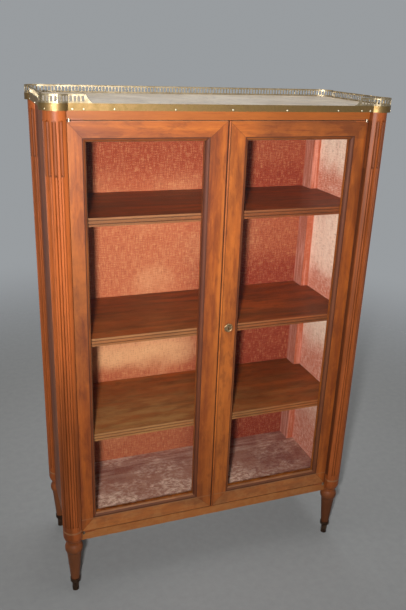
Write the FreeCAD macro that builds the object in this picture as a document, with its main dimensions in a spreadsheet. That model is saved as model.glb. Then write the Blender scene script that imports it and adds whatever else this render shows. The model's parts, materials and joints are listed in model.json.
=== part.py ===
"""Neoclassical glazed bookcase: stop-fluted corner posts on turned feet, two mitred doors on pivots,
loose shelves, cloth lining, and a marble top with a pierced brass gallery. Millimetres, +Z up, front at -Y."""
import FreeCAD
import Part
import Sketcher
import math
import os
import re

Vector = FreeCAD.Vector

# Driving dimensions
SIZES = {
    # posts
    "post_spacing_x": 840, "post_spacing_y": 298, "column_dia": 58,
    "post_flat_x": 21, "post_flat_y": 25, "post_back_block": 20, "post_back_depth": 28.5,
    "neck_dia": 41, "neck_rise": 7, "cup_height": 17, "cup_shoulder_dia": 53, "cup_shoulder_height": 7,
    "base_band_height": 22, "base_groove_height": 3, "base_groove_depth": 1.8,
    "flute_dia": 10.4, "flute_lift": 0.8, "flute_top_drop": 20, "flute_foot_rise": 19,
    "rod_dia": 6.6, "rod_sink": 0.3, "rod_top_drop": 127,
    # feet, turned in one piece with the posts
    "foot_height": 176, "bulb_drop": 3, "bulb_height": 31,
    "taper_top_dia": 42, "taper_foot_dia": 25, "peg_width": 11, "peg_height": 26, "peg_clearance": 0.05,
    "ferrule_height": 44, "ferrule_ring_height": 11, "ferrule_ring_dia": 29, "ferrule_tip_dia": 19,
    # case
    "top_height": 1392, "top_thickness": 16, "top_rail_height": 22, "bottom_rail_height": 26,
    "rail_thickness": 22, "door_reveal": 4, "board_thickness": 18, "board_setback": 24.5,
    "side_panel_thickness": 10, "side_panel_reveal": 13, "back_panel_thickness": 6.5,
    "lining_thickness": 1,
    # shelves
    "shelf_thickness": 22, "shelf_upper_height": 1118, "shelf_middle_height": 794, "shelf_lower_height": 504,
    "shelf_clearance": 1, "shelf_front_clearance": 0.5,
    "shelf_reed_width": 2, "shelf_reed_depth": 1.2, "shelf_reed_spacing": 9,
    "cleat_width": 12, "cleat_height": 16, "cleat_inset": 20,
    # marble, band and gallery
    "top_overhang": 26, "boss_dia": 73, "band_thickness": 1.5, "band_return": 80,
    "gallery_height": 20, "gallery_thickness": 1.6, "gallery_inset": 0.4, "gallery_rail_height": 4,
    "gallery_gap_width": 20, "gallery_pitch": 27.6, "gallery_return": 82, "gallery_end_slope": 18,
    # doors
    "door_thickness": 22, "door_side_gap": 0.8, "door_end_gap": 1.5, "meeting_gap": 2,
    "outer_stile_width": 46, "meeting_stile_width": 56, "door_top_width": 49, "door_bottom_width": 53,
    "moulding_width": 10, "moulding_step": 1.2, "rebate_width": 8, "rebate_depth": 9,
    "glass_thickness": 3, "glass_clearance": 1, "meeting_bead_dia": 5,
    # pivots
    "pivot_inset": 7.2, "pivot_stand_off": 2, "knuckle_dia": 7, "pivot_pin_dia": 4, "pivot_clearance": 0.05,
    "leaf_length": 32, "leaf_width": 13, "leaf_thickness": 3,
    # lock
    "lock_height": 798, "lock_setback": 26, "lock_case_width": 42, "lock_case_height": 64,
    "lock_case_depth": 13, "lock_edge": 2, "keyhole_dia": 4.4, "keyhole_slot": 2, "keyhole_drop": 6,
    "keyhole_depth": 12, "bolt_rise": 8, "bolt_height": 12, "bolt_width": 6, "bolt_length": 26,
    "bolt_clearance": 0.2, "bolt_end_gap": 0.4, "strike_depth": 10,
    "escutcheon_dia": 25, "escutcheon_plate": 2,
    # flush bolts
    "flush_bolt_inset": 30, "flush_bolt_width": 8, "flush_bolt_depth": 6, "flush_bolt_length": 90,
    "flush_bolt_throw": 10, "flush_bolt_stud_width": 5, "flush_bolt_stud_length": 4,
    "flush_plate_width": 20, "flush_plate_thickness": 1.2, "flush_plate_length": 108,
    # every cut runs past the solid by this much
    "overrun": 5,
}
FLUTE_STEP_DEG = 30
FLUTE_FIRST_DEG = {"front": 135, "rear": 165}
FLUTE_STEPS = {"front": range(6), "rear": range(3)}
SIDES = {"left": -1, "right": 1}
ENDS = {"front": -1, "rear": 1}

doc = FreeCAD.newDocument("Bookcase")
sheet = doc.addObject("Spreadsheet::Sheet", "Sizes")
for row, (alias, size) in enumerate(SIZES.items(), start=1):
    sheet.set(f"A{row}", alias)
    sheet.set(f"B{row}", str(size))
    sheet.setAlias(f"B{row}", alias)
doc.recompute()


# Expressions on the sheet
def sized(expression):
    """The expression with each size read from the sheet."""
    return re.sub(r"[a-z][a-z0-9_]*", lambda m: "Sizes." + m[0] if m[0] in SIZES else m[0], expression)


def value(expression):
    return float(sheet.evalExpression(sized(expression)))


def bind(item, path, expression):
    item.setExpression(path, sized(expression))


def minus(expression):
    return f"(0 - ({expression}))"


def span(side, near, far):
    """Low and high ends of what lies between two distances on one side of the middle."""
    return (f"({near})", f"({far})") if side > 0 else (minus(far), minus(near))


# Shape helpers
nodes = []


def keep(label, item):
    item.Label = label
    nodes.append(item)
    return item


def place(item, x="0", y="0", z="0", turn=None):
    if turn:
        item.Placement = FreeCAD.Placement(Vector(), turn)
    for axis, expression in zip("xyz", (x, y, z)):
        bind(item, f"Placement.Base.{axis}", expression)
    return item


def block(xs, ys, zs):
    """A box between low and high expressions on each axis."""
    item = doc.addObject("Part::Box", "Block")
    for size, (low, high) in zip(("Length", "Width", "Height"), (xs, ys, zs)):
        bind(item, size, f"({high}) - ({low})")
    return place(item, xs[0], ys[0], zs[0])


def rod(dia, length, x, y, z, turn=None):
    item = doc.addObject("Part::Cylinder", "Rod")
    bind(item, "Radius", f"({dia}) / 2")
    bind(item, "Height", length)
    return place(item, x, y, z, turn)


def group(parts):
    item = doc.addObject("Part::Compound", "Group")
    item.Links = parts
    return item


def fuse(parts):
    item = doc.addObject("Part::MultiFuse", "Fuse")
    item.Shapes = parts
    item.Refine = True
    return item


def cut(base, *tools):
    for tool in tools:
        item = doc.addObject("Part::Cut", "Cut")
        item.Base, item.Tool = base, tool
        base = item
    return base


def common(base, tool):
    item = doc.addObject("Part::MultiCommon", "Common")
    item.Shapes = [base, tool]
    return item


def outline(body, plane, vertices):
    """A closed sketch through (u, v) vertices; (u, v, radius) arrives by an arc that turns to the left."""
    sketch = body.newObject("Sketcher::SketchObject", "Outline")
    sketch.AttachmentSupport = [(next(f for f in body.Origin.OriginFeatures if f.Role == plane), "")]
    sketch.MapMode = "FlatFace"
    points = [Vector(value(v[0]), value(v[1]), 0) for v in vertices]
    for index, vertex in enumerate(vertices):
        begin, end = points[index - 1], points[index]
        if len(vertex) == 2:
            sketch.addGeometry(Part.LineSegment(begin, end))
            continue
        radius, chord = value(vertex[2]), end - begin
        reach = math.sqrt(radius ** 2 - chord.Length ** 2 / 4)
        centre = (begin + end) * 0.5 + Vector(-chord.y, chord.x, 0).normalize() * reach
        angles = [math.atan2(p.y - centre.y, p.x - centre.x) for p in (begin, end)]
        sketch.addGeometry(Part.ArcOfCircle(Part.Circle(centre, Vector(0, 0, 1), radius), *angles))
    for index, vertex in enumerate(vertices):
        following = (index + 1) % len(vertices)
        sketch.addConstraint(Sketcher.Constraint("Coincident", index, 2, following, 1))
        for kind, expression, size in zip(("DistanceX", "DistanceY"), vertex, points[index]):
            number = sketch.addConstraint(Sketcher.Constraint(kind, -1, 1, index, 2, size))
            bind(sketch, f"Constraints[{number}]", expression)
        if len(vertex) == 3:
            number = sketch.addConstraint(Sketcher.Constraint("Radius", index, value(vertex[2])))
            bind(sketch, f"Constraints[{number}]", vertex[2])
    return sketch


def turned(vertices):
    """A body turned about Z from a profile of (radius, height) vertices."""
    body = doc.addObject("PartDesign::Body", "Turned")
    sketch = outline(body, "XZ_Plane", vertices)
    turn = body.newObject("PartDesign::Revolution", "Turn")
    turn.Profile = sketch
    turn.ReferenceAxis = (sketch, ["V_Axis"])
    turn.Angle = 360
    return body


def padded(plane, vertices, length):
    """A body padded from an outline, along the normal of its plane."""
    body = doc.addObject("PartDesign::Body", "Padded")
    sketch = outline(body, plane, vertices)
    pad = body.newObject("PartDesign::Pad", "Pad")
    pad.Profile = sketch
    bind(pad, "Length", length)
    return body


# Shared places
post_x = "(post_spacing_x / 2)"
post_y = "(post_spacing_y / 2)"
column_r = "(column_dia / 2)"
case_top = "(top_height - top_thickness)"
floor_top = "(foot_height + bottom_rail_height)"
floor_low = f"({floor_top} - board_thickness)"
cover_low = f"({case_top} - board_thickness)"
lintel_low = f"({case_top} - top_rail_height)"
post_inner_x = f"({post_x} - post_flat_x)"
post_inner_y = f"({post_y} - post_flat_y)"
side_outer = f"({post_x} + side_panel_reveal)"
side_inner = f"({side_outer} - side_panel_thickness)"
wall_x = f"({side_inner} - lining_thickness)"
back_inner = f"({post_y} + post_back_depth)"
wall_y = f"({back_inner} - lining_thickness)"
door_face = f"(0 - {post_y} - door_reveal)"
door_back = f"({door_face} + door_thickness)"
board_front = f"({door_face} + board_setback)"
door_low = f"({floor_top} + door_end_gap)"
door_high = f"({lintel_low} - door_end_gap)"
door_outer = f"({post_inner_x} - door_side_gap)"
door_inner = "(meeting_gap / 2)"
glass_front = f"({door_back} - rebate_depth)"
glass_back = f"({glass_front} + glass_thickness)"
pivot_x = f"({door_outer} - pivot_inset)"
pivot_y = f"({door_face} - pivot_stand_off)"
boss_r = "(boss_dia / 2)"
ABOUT_X = Vector(1, 0, 0)
ABOUT_Y = Vector(0, 1, 0)
ABOUT_Z = Vector(0, 0, 1)


# Corner posts
base_low = "(foot_height + neck_rise + cup_height)"
base_high = f"({base_low} + base_band_height)"
shaft_low = f"({base_high} + base_groove_height)"
flute_low = f"({base_high} + flute_foot_rise)"
flute_high = f"({case_top} - flute_top_drop)"
flute_reach = f"({column_r} + flute_lift)"
flute_r = "(flute_dia / 2)"
head_r = f"sqrt({flute_r} * {flute_r} - flute_lift * flute_lift)"
head_low = f"({flute_high} - {head_r})"
head_depth = f"({flute_r} - flute_lift)"
rod_reach = f"({column_r} - rod_sink - rod_dia / 2)"
rod_high = f"({flute_high} - rod_top_drop)"
groove_r = f"({column_r} - base_groove_depth)"
neck_r = "(neck_dia / 2)"
cup_low = "(foot_height + neck_rise)"
cup_middle = f"({cup_low} + cup_shoulder_height)"
bulb_high = "(foot_height - bulb_drop)"
bulb_low = f"({bulb_high} - bulb_height)"
# the bulb is part of a ball about the axis, which meets the neck and the taper
bulb_shift = "((taper_top_dia * taper_top_dia - neck_dia * neck_dia) / (8 * bulb_height))"
bulb_rise = f"(bulb_height / 2 + {bulb_shift})"
bulb_r = f"sqrt({neck_r} * {neck_r} + {bulb_rise} * {bulb_rise})"
peg_low = "(ferrule_height - peg_height)"
ring_low = "(ferrule_height - ferrule_ring_height)"
socket_half = "(peg_width / 2 + peg_clearance)"
socket_low = f"({peg_low} - peg_clearance)"
taper_foot_r = "(taper_foot_dia / 2)"

shaft_form = turned([
    ("0", "ferrule_height"), (taper_foot_r, "ferrule_height"),
    ("taper_top_dia / 2", bulb_low), (neck_r, bulb_high, bulb_r), (neck_r, cup_low),
    ("cup_shoulder_dia / 2", cup_middle), (column_r, base_low), (column_r, base_high), (groove_r, base_high),
    (groove_r, shaft_low), (column_r, shaft_low), (column_r, case_top), ("0", case_top)])
peg_side = (minus("peg_width / 2"), "peg_width / 2")
peg_form = block(peg_side, peg_side, (peg_low, "ferrule_height + overrun"))
socket_side = (minus(socket_half), socket_half)
ferrule_form = cut(turned([
    ("0", "0"), ("ferrule_tip_dia / 2", "0"), ("ferrule_tip_dia / 2", ring_low), ("ferrule_ring_dia / 2", ring_low),
    ("ferrule_ring_dia / 2", "ferrule_height"), ("0", "ferrule_height")]),
    block(socket_side, socket_side, (socket_low, "ferrule_height + overrun")))
channel_form = rod("flute_dia", f"{head_low} - {flute_low}", "0", "0", flute_low)
head_form = padded("YZ_Plane", [(head_r, head_low), ("0", flute_high, head_r), (minus(head_r), head_low, head_r)],
                   f"{head_depth} + overrun")
rod_form = rod("rod_dia", f"{rod_high} - {flute_low} + overrun", "0", "0", f"{flute_low} - overrun")


def round_the_column(form, reach, angles):
    copies = []
    for angle in angles:
        copies.append(place(group([form]), f"{reach} * cos({angle})", f"{reach} * sin({angle})", "0",
                            FreeCAD.Rotation(ABOUT_Z, angle)))
    return copies


def post(side, end):
    """One column about its own axis: flats towards the case, flutes on the faces that show, rods in them."""
    x_side, y_side = SIDES[side], ENDS[end]
    full = (minus("column_dia"), "column_dia")
    tall = ("foot_height", f"{case_top} + overrun")
    flat_x = block(span(-x_side, "post_flat_x", "column_dia"), full, tall)
    flat_y = block(full, span(-y_side, "post_flat_y", "column_dia"), tall)
    solid = cut(shaft_form, flat_x, flat_y)
    if end == "rear":
        flat_back = block(full, ("post_back_depth", "column_dia"), tall)
        square_x = (minus("post_back_block"), "post_flat_x")
        if x_side > 0:
            square_x = (minus("post_flat_x"), "post_back_block")
        square = block(square_x, ("0", "post_back_depth"), ("foot_height", case_top))
        solid = fuse([cut(solid, flat_back), square])
    angles = [FLUTE_FIRST_DEG[end] + FLUTE_STEP_DEG * step for step in FLUTE_STEPS[end]]
    if x_side > 0:
        angles = [180 - angle for angle in angles]
    channels = group(round_the_column(channel_form, flute_reach, angles))
    end_reach = f"({flute_reach} - {head_depth})"
    heads = group(round_the_column(head_form, end_reach, angles))
    solid = cut(solid, channels, heads)
    solid = fuse([solid, peg_form] + round_the_column(rod_form, rod_reach, angles))
    place(solid, f"{x_side} * {post_x}", f"{y_side} * {post_y}")
    return keep(f"{end}_{side}_post", solid)


for end in ENDS:
    for side in SIDES:
        post(side, end)
keep("ferrules", group([place(group([ferrule_form]), f"{x_side} * {post_x}", f"{y_side} * {post_y}")
                        for y_side in ENDS.values() for x_side in SIDES.values()]))


# Case boards
def notched(inner, outer, front, notch_front, notch_rear, back, low, thickness):
    """A board that is wide between the posts and narrow in front of and behind them."""
    left_in, left_out = minus(inner), minus(outer)
    board = padded("XY_Plane", [
        (left_in, front), (inner, front), (inner, notch_front), (outer, notch_front), (outer, notch_rear),
        (inner, notch_rear), (inner, back), (left_in, back), (left_in, notch_rear), (left_out, notch_rear),
        (left_out, notch_front), (left_in, notch_front)], thickness)
    return place(board, z=low)


def case_board(low, high, top_of_wall=side_inner):
    return notched(post_inner_x, top_of_wall, board_front, minus(post_inner_y), post_inner_y, back_inner,
                   low, f"{high} - {low}")


between_posts = (minus(post_inner_x), post_inner_x)
between_ends = (minus(post_inner_y), post_inner_y)
frame_height = ("foot_height", case_top)
rail_depth = (door_face, f"{door_face} + rail_thickness")
lined_height = (f"{floor_top} + lining_thickness", cover_low)
back_width = f"({post_x} + post_back_block)"

keep("bottom_board", case_board(floor_low, floor_top))
keep("top_board", case_board(cover_low, case_top))
for side, x_side in SIDES.items():
    keep(f"{side}_side_panel", block(span(x_side, side_inner, side_outer), between_ends, frame_height))
    keep(f"{side}_wall_lining", block(span(x_side, wall_x, side_inner), between_ends, lined_height))
keep("back_panel", block((minus(back_width), back_width),
                         (back_inner, f"{back_inner} + back_panel_thickness"), frame_height))
keep("back_lining", block(between_posts, (wall_y, back_inner), lined_height))
keep("floor_lining", case_board(floor_top, f"({floor_top} + lining_thickness)"))


def post_lining(x_side):
    """An angle of cloth over the two faces of a rear post that look into the case."""
    post_face = f"({post_inner_y} - lining_thickness)"
    post_side = f"({post_inner_x} - lining_thickness)"
    angle = block(span(x_side, post_side, wall_x), (post_face, wall_y), lined_height)
    return cut(angle, block(span(x_side, post_inner_x, f"{wall_x} + overrun"),
                            (post_inner_y, f"{wall_y} + overrun"), (floor_low, case_top)))


keep("rear_post_linings", group([post_lining(x_side) for x_side in SIDES.values()]))


# Shelves
def shelf(label, height):
    """A loose board with two quirks cut along its front edge, which leave three reeds."""
    clear = "(shelf_clearance + lining_thickness)"
    front = f"(0 - {post_inner_y} + shelf_front_clearance)"
    outer = f"({wall_x} - shelf_clearance)"
    low = f"({height} - shelf_thickness)"
    board = padded("XY_Plane", [
        (minus(outer), front), (outer, front), (outer, f"{post_inner_y} - {clear}"),
        (f"{post_inner_x} - {clear}", f"{post_inner_y} - {clear}"),
        (f"{post_inner_x} - {clear}", f"{wall_y} - shelf_clearance"),
        (f"0 - ({post_inner_x} - {clear})", f"{wall_y} - shelf_clearance"),
        (f"0 - ({post_inner_x} - {clear})", f"{post_inner_y} - {clear}"),
        (minus(outer), f"{post_inner_y} - {clear}")], "shelf_thickness")
    place(board, z=low)
    reeds = []
    for step in (-1, 1):
        middle = f"({height} - shelf_thickness / 2 + {step} * shelf_reed_spacing / 2)"
        reeds.append(block((f"0 - {outer} - overrun", f"{outer} + overrun"),
                           (f"{front} - overrun", f"{front} + shelf_reed_depth"),
                           (f"{middle} - shelf_reed_width / 2", f"{middle} + shelf_reed_width / 2")))
    return keep(label, cut(board, *reeds))


shelf_heights = {level: f"shelf_{level}_height" for level in ("upper", "middle", "lower")}
cleats = []
for level, height in shelf_heights.items():
    shelf(f"{level}_shelf", height)
    shelf_low = f"({height} - shelf_thickness)"
    for x_side in SIDES.values():
        cleats.append(block(span(x_side, f"{wall_x} - cleat_width", wall_x),
                            (f"cleat_inset - {post_inner_y}", f"{post_inner_y} - cleat_inset"),
                            (f"{shelf_low} - cleat_height", shelf_low)))
keep("shelf_cleats", group(cleats))


# Front rails and their pivots
def front_rail(low, high):
    return block(between_posts, rail_depth, (low, high))


def eye_plate(x_side, low, bore=None):
    """A flat leaf with an eye in front of the door face, from low upwards."""
    leaf = block(span(x_side, f"{pivot_x} - leaf_length", f"{pivot_x} + knuckle_dia / 2"),
                 (door_face, f"{door_face} + leaf_width"), (low, f"{low} + leaf_thickness"))
    eye = rod("knuckle_dia", "leaf_thickness", f"{x_side} * {pivot_x}", pivot_y, low)
    plate = fuse([leaf, eye])
    if bore:
        plate = cut(plate, rod(bore, "leaf_thickness + 2 * overrun", f"{x_side} * {pivot_x}", pivot_y,
                               f"{low} - overrun"))
    return plate


def leaf_bed(x_side, low):
    """What a leaf takes out of the wood that it is let into."""
    return block(span(x_side, f"{pivot_x} - leaf_length", f"{pivot_x} + knuckle_dia / 2"),
                 (door_face, f"{door_face} + leaf_width"), (low, f"{low} + leaf_thickness"))


door_leaf_lows = (door_low, f"({door_high} - leaf_thickness)")
case_leaf_lows = (f"({floor_top} - leaf_thickness)", lintel_low)
flush_x = minus(f"{door_inner} + flush_bolt_inset")
flush_back = f"({door_back} - flush_plate_thickness)"
flush_front = f"({flush_back} - flush_bolt_depth)"


def flush_channel(zs):
    half_width = "flush_bolt_width / 2"
    return block((f"{flush_x} - {half_width}", f"{flush_x} + {half_width}"), (flush_front, flush_back), zs)


case_pivots = []
rails = {"bottom_rail": front_rail("foot_height", floor_top), "top_rail": front_rail(lintel_low, case_top)}
throw_holes = {"bottom_rail": flush_channel((f"{floor_top} - flush_bolt_throw", f"{floor_top} + overrun")),
               "top_rail": flush_channel((f"{lintel_low} - overrun", f"{lintel_low} + flush_bolt_throw"))}
for (name, rail), leaf_low in zip(rails.items(), case_leaf_lows):
    beds = [leaf_bed(x_side, leaf_low) for x_side in SIDES.values()]
    keep(name, cut(rail, throw_holes[name], *beds))
pin_lows = (case_leaf_lows[0], door_leaf_lows[1])
pin_length = "2 * leaf_thickness + door_end_gap"
for leaf_low, pin_low in zip(case_leaf_lows, pin_lows):
    for x_side in SIDES.values():
        pin = rod("pivot_pin_dia", pin_length, f"{x_side} * {pivot_x}", pivot_y, pin_low)
        case_pivots.append(fuse([eye_plate(x_side, leaf_low), pin]))
keep("case_pivots", group(case_pivots))


# Doors
def member(width, length, start, finish):
    """A door member along X: outer edge at Y 0, moulded inner edge, rebate behind, mitred at both ends."""
    bar = padded("YZ_Plane", [
        ("0", "0"), (f"{width} - moulding_width", "0"), (f"{width} - moulding_width", "moulding_step"),
        (width, "moulding_step + moulding_width", "moulding_width"), (width, "door_thickness - rebate_depth"),
        (f"{width} - rebate_width", "door_thickness - rebate_depth"), (f"{width} - rebate_width", "door_thickness"),
        ("0", "door_thickness")], length)
    mitred = padded("XY_Plane", [("0", "0"), (length, "0"), (f"{length} - {finish}", width), (start, width)],
                    "door_thickness")
    return common(bar, mitred)


def upright(angle):
    """Stands a member up in the door: its front face to -Y, turned by quarter turns from the top rail."""
    return FreeCAD.Rotation(ABOUT_Y, angle).multiply(FreeCAD.Rotation(ABOUT_X, -90))


door_height = f"({door_high} - {door_low})"
door_width = f"({door_outer} - {door_inner})"
strike_z = (f"lock_height + bolt_rise - bolt_height / 2 - bolt_clearance",
            f"lock_height + bolt_rise + bolt_height / 2 + bolt_clearance")
lock_y = (f"{door_back} - lock_case_depth", door_back)
bolt_y = f"({door_back} - lock_case_depth / 2)"
bolt_way_y = (f"{bolt_y} - bolt_width / 2 - bolt_clearance", f"{bolt_y} + bolt_width / 2 + bolt_clearance")
lock_x = f"({door_inner} + lock_setback)"
lock_case_x = (f"{door_inner} + lock_edge", f"{door_inner} + lock_edge + lock_case_width")
bolt_x = f"({door_inner} + bolt_end_gap)"


def keyhole():
    """A round hole with a slot below it, from in front of the door back into the lock."""
    front = f"{door_face} - overrun"
    length = "overrun + keyhole_depth"
    hole = rod("keyhole_dia", length, lock_x, front, "lock_height", FreeCAD.Rotation(ABOUT_X, -90))
    slot = block((f"{lock_x} - keyhole_slot / 2", f"{lock_x} + keyhole_slot / 2"), (front, f"{front} + {length}"),
                 ("lock_height - keyhole_drop", "lock_height"))
    return fuse([hole, slot])


def flush_plate_bed(low):
    half_width = "flush_plate_width / 2"
    return block((f"{flush_x} - {half_width}", f"{flush_x} + {half_width}"), (flush_back, door_back),
                 (low, f"{low} + flush_plate_length"))


flush_plate_lows = (door_low, f"({door_high} - flush_plate_length)")


def door(side):
    x_side = SIDES[side]
    left, right = span(x_side, door_inner, door_outer)
    left_width, right_width = "outer_stile_width", "meeting_stile_width"
    if x_side > 0:
        left_width, right_width = right_width, left_width
    left_name, right_name = [w.replace("_width", "") for w in (left_width, right_width)]
    members = {
        "top_rail": place(member("door_top_width", door_width, left_width, right_width),
                          left, door_face, door_high, upright(0)),
        right_name: place(member(right_width, door_height, "door_top_width", "door_bottom_width"),
                          right, door_face, door_high, upright(90)),
        "bottom_rail": place(member("door_bottom_width", door_width, right_width, left_width),
                             right, door_face, door_low, upright(180)),
        left_name: place(member(left_width, door_height, "door_bottom_width", "door_top_width"),
                         left, door_face, door_low, upright(270))}
    beds = {"bottom_rail": [leaf_bed(x_side, door_leaf_lows[0])], "top_rail": [leaf_bed(x_side, door_leaf_lows[1])],
            "outer_stile": [leaf_bed(x_side, low) for low in door_leaf_lows], "meeting_stile": []}
    if side == "left":
        bolt_beds = [flush_channel((low, f"{low} + flush_plate_length")) for low in flush_plate_lows]
        bolt_beds += [flush_plate_bed(low) for low in flush_plate_lows]
        strike = block((minus(f"{door_inner} + strike_depth"), "0"), bolt_way_y, strike_z)
        beds["meeting_stile"] += bolt_beds + [strike]
        beds["bottom_rail"] += [bolt_beds[0], bolt_beds[2]]
        beds["top_rail"] += [bolt_beds[1], bolt_beds[3]]
    else:
        lock_bed = block(lock_case_x, lock_y, ("lock_height - lock_case_height / 2",
                                               "lock_height + lock_case_height / 2"))
        bolt_way = block(("0", lock_case_x[0]), bolt_way_y, strike_z)
        beds["meeting_stile"] += [lock_bed, bolt_way, keyhole()]
    for name, item in members.items():
        keep(f"{side}_door_{name}", cut(item, *beds[name]))

    opening_x = (f"({left} + {left_width})", f"({right} - {right_width})")
    opening_z = (f"({door_low} + door_bottom_width)", f"({door_high} - door_top_width)")
    hold = "(rebate_width - glass_clearance)"
    keep(f"{side}_door_glass", block((f"{opening_x[0]} - {hold}", f"{opening_x[1]} + {hold}"),
                                     (glass_front, glass_back),
                                     (f"{opening_z[0]} - {hold}", f"{opening_z[1]} + {hold}")))
    bead_y = (glass_back, door_back)
    outer_x = (f"{opening_x[0]} - rebate_width", f"{opening_x[1]} + rebate_width")
    keep(f"{side}_door_glazing_beads", group([
        block(outer_x, bead_y, (f"{opening_z[0]} - rebate_width", opening_z[0])),
        block(outer_x, bead_y, (opening_z[1], f"{opening_z[1]} + rebate_width")),
        block((outer_x[0], opening_x[0]), bead_y, opening_z),
        block((opening_x[1], outer_x[1]), bead_y, opening_z)]))
    bore = "pivot_pin_dia + 2 * pivot_clearance"
    keep(f"{side}_door_pivots", group([eye_plate(x_side, low, bore) for low in door_leaf_lows]))


door("left")
door("right")


# Meeting bead, lock and escutcheon on the right door
def meeting_bead():
    """A half-round strip down the meeting edge."""
    bead = rod("meeting_bead_dia", door_height, f"{door_inner} + meeting_bead_dia / 2", door_face, door_low)
    front = block((door_inner, f"{door_inner} + meeting_bead_dia"), (f"{door_face} - meeting_bead_dia", door_face),
                  (door_low, door_high))
    return common(bead, front)


keep("meeting_bead", meeting_bead())
lock_case = block(lock_case_x, lock_y, ("lock_height - lock_case_height / 2", "lock_height + lock_case_height / 2"))
bolt_way = block((f"{lock_case_x[0]} - overrun", f"{bolt_x} + bolt_length + bolt_clearance"), bolt_way_y, strike_z)
keep("lock_case", cut(lock_case, bolt_way, keyhole()))
keep("lock_bolt", block((bolt_x, f"{bolt_x} + bolt_length"), (f"{bolt_y} - bolt_width / 2", f"{bolt_y} + bolt_width / 2"),
                        ("lock_height + bolt_rise - bolt_height / 2", "lock_height + bolt_rise + bolt_height / 2")))
disc = rod("escutcheon_dia", "escutcheon_plate", "0", "0", "0")
place(disc, lock_x, door_face, "lock_height", FreeCAD.Rotation(ABOUT_X, 90))
keep("escutcheon", cut(disc, keyhole()))


# Flush bolts in the left door
def flush_bolt(label, low, stud_z):
    slim = "(flush_bolt_width / 2 - bolt_clearance)"
    bar = block((f"{flush_x} - {slim}", f"{flush_x} + {slim}"),
                (f"{flush_front} + bolt_clearance", f"{flush_back} - bolt_clearance"), (low, f"{low} + flush_bolt_length"))
    stud_half = "flush_bolt_stud_width / 2"
    stud = block((f"{flush_x} - {stud_half}", f"{flush_x} + {stud_half}"),
                 (f"{flush_back} - bolt_clearance", f"{door_back} + flush_bolt_stud_length"),
                 (f"{stud_z} - {stud_half}", f"{stud_z} + {stud_half}"))
    return keep(label, fuse([bar, stud]))


def flush_plate(low, slot_low):
    half_width = "flush_plate_width / 2"
    slot_half = "(flush_bolt_stud_width / 2 + bolt_clearance)"
    face = block((f"{flush_x} - {half_width}", f"{flush_x} + {half_width}"), (flush_back, door_back),
                 (low, f"{low} + flush_plate_length"))
    slot = block((f"{flush_x} - {slot_half}", f"{flush_x} + {slot_half}"),
                 (f"{flush_back} - overrun", f"{door_back} + overrun"),
                 (slot_low, f"{slot_low} + flush_bolt_throw + 2 * {slot_half}"))
    return cut(face, slot)


top_bolt_low = f"({door_high} - bolt_end_gap - flush_bolt_length)"
bottom_bolt_low = f"({door_low} + bolt_end_gap)"
stud_offset = "(flush_bolt_length / 2)"
top_stud_z = f"({top_bolt_low} + {stud_offset})"
bottom_stud_z = f"({bottom_bolt_low} + {stud_offset})"
slot_reach = "(flush_bolt_stud_width / 2 + bolt_clearance)"
flush_bolt("top_flush_bolt", top_bolt_low, top_stud_z)
flush_bolt("bottom_flush_bolt", bottom_bolt_low, bottom_stud_z)
keep("flush_bolt_plates", group([
    flush_plate(flush_plate_lows[0], f"({bottom_stud_z} - flush_bolt_throw - {slot_reach})"),
    flush_plate(flush_plate_lows[1], f"({top_stud_z} - {slot_reach})")]))


# Marble top, edge band and gallery
def boss_reach(inset):
    """How far from a boss axis its arc meets the straight edge."""
    return f"sqrt(({boss_r} - {inset}) * ({boss_r} - {inset}) - (top_overhang - {inset}) * (top_overhang - {inset}))"


def top_plate(inset, low, height):
    """The top's outline moved in by inset: straight edges, round bosses over the posts."""
    edge, r, reach = f"(top_overhang - {inset})", f"({boss_r} - {inset})", boss_reach(inset)
    slant = f"{r} * cos(45)"
    right, left = post_x, minus(post_x)
    front, rear = minus(post_y), post_y
    plate = padded("XY_Plane", [
        (f"{left} + {reach}", f"{front} - {edge}", r), (f"{right} - {reach}", f"{front} - {edge}"),
        (f"{right} + {slant}", f"{front} - {slant}", r), (f"{right} + {edge}", f"{front} + {reach}", r),
        (f"{right} + {edge}", f"{rear} - {reach}"),
        (f"{right} + {r}", rear, r), (right, f"{rear} + {r}", r), (left, f"{rear} + {r}"),
        (f"{left} - {r}", rear, r), (f"{left} - {edge}", f"{rear} - {reach}", r),
        (f"{left} - {edge}", f"{front} + {reach}"), (f"{left} - {slant}", f"{front} - {slant}", r)], height)
    return place(plate, z=low)


far_x = f"({post_x} + boss_dia)"
far_y = f"({post_y} + boss_dia)"
keep("marble_top", top_plate("band_thickness", case_top, "top_thickness"))
band_ring = cut(top_plate("0", case_top, "top_thickness"), top_plate("band_thickness", case_top, "top_thickness"),
                block((minus(post_x), post_x), ("0", far_y), (cover_low, "top_height + overrun")))
band_height = (case_top, "top_height")
band_joint = f"({post_x} - band_return)"
keep("front_band", common(band_ring, block((minus(band_joint), band_joint), (minus(far_y), "0"), band_height)))
for side, x_side in SIDES.items():
    keep(f"{side}_band", common(band_ring, block(span(x_side, band_joint, far_x), (minus(far_y), far_y), band_height)))

gallery_back_inset = "(gallery_inset + gallery_thickness)"
gallery_high = "(top_height + gallery_height)"
gallery_z = ("top_height", gallery_high)
gap_z = ("top_height + gallery_rail_height", f"{gallery_high} - gallery_rail_height")
gallery_joint_y = f"({post_y} - {boss_reach('gallery_inset')})"
gallery_end = f"({post_x} - gallery_return)"
gallery_ring = cut(top_plate("gallery_inset", "top_height", "gallery_height"),
                   top_plate(gallery_back_inset, "top_height", "gallery_height"))


def gap_row(start, finish, box):
    """Gaps at the gallery's pitch, centred between start and finish; box makes one at a place along the run."""
    run = value(f"{finish} - {start}")
    count = int(run / value("gallery_pitch"))
    middle = f"(({start} + {finish}) / 2)"
    return [box(f"({middle} + ({step} - ({count} - 1) / 2) * gallery_pitch)") for step in range(count)]


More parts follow.
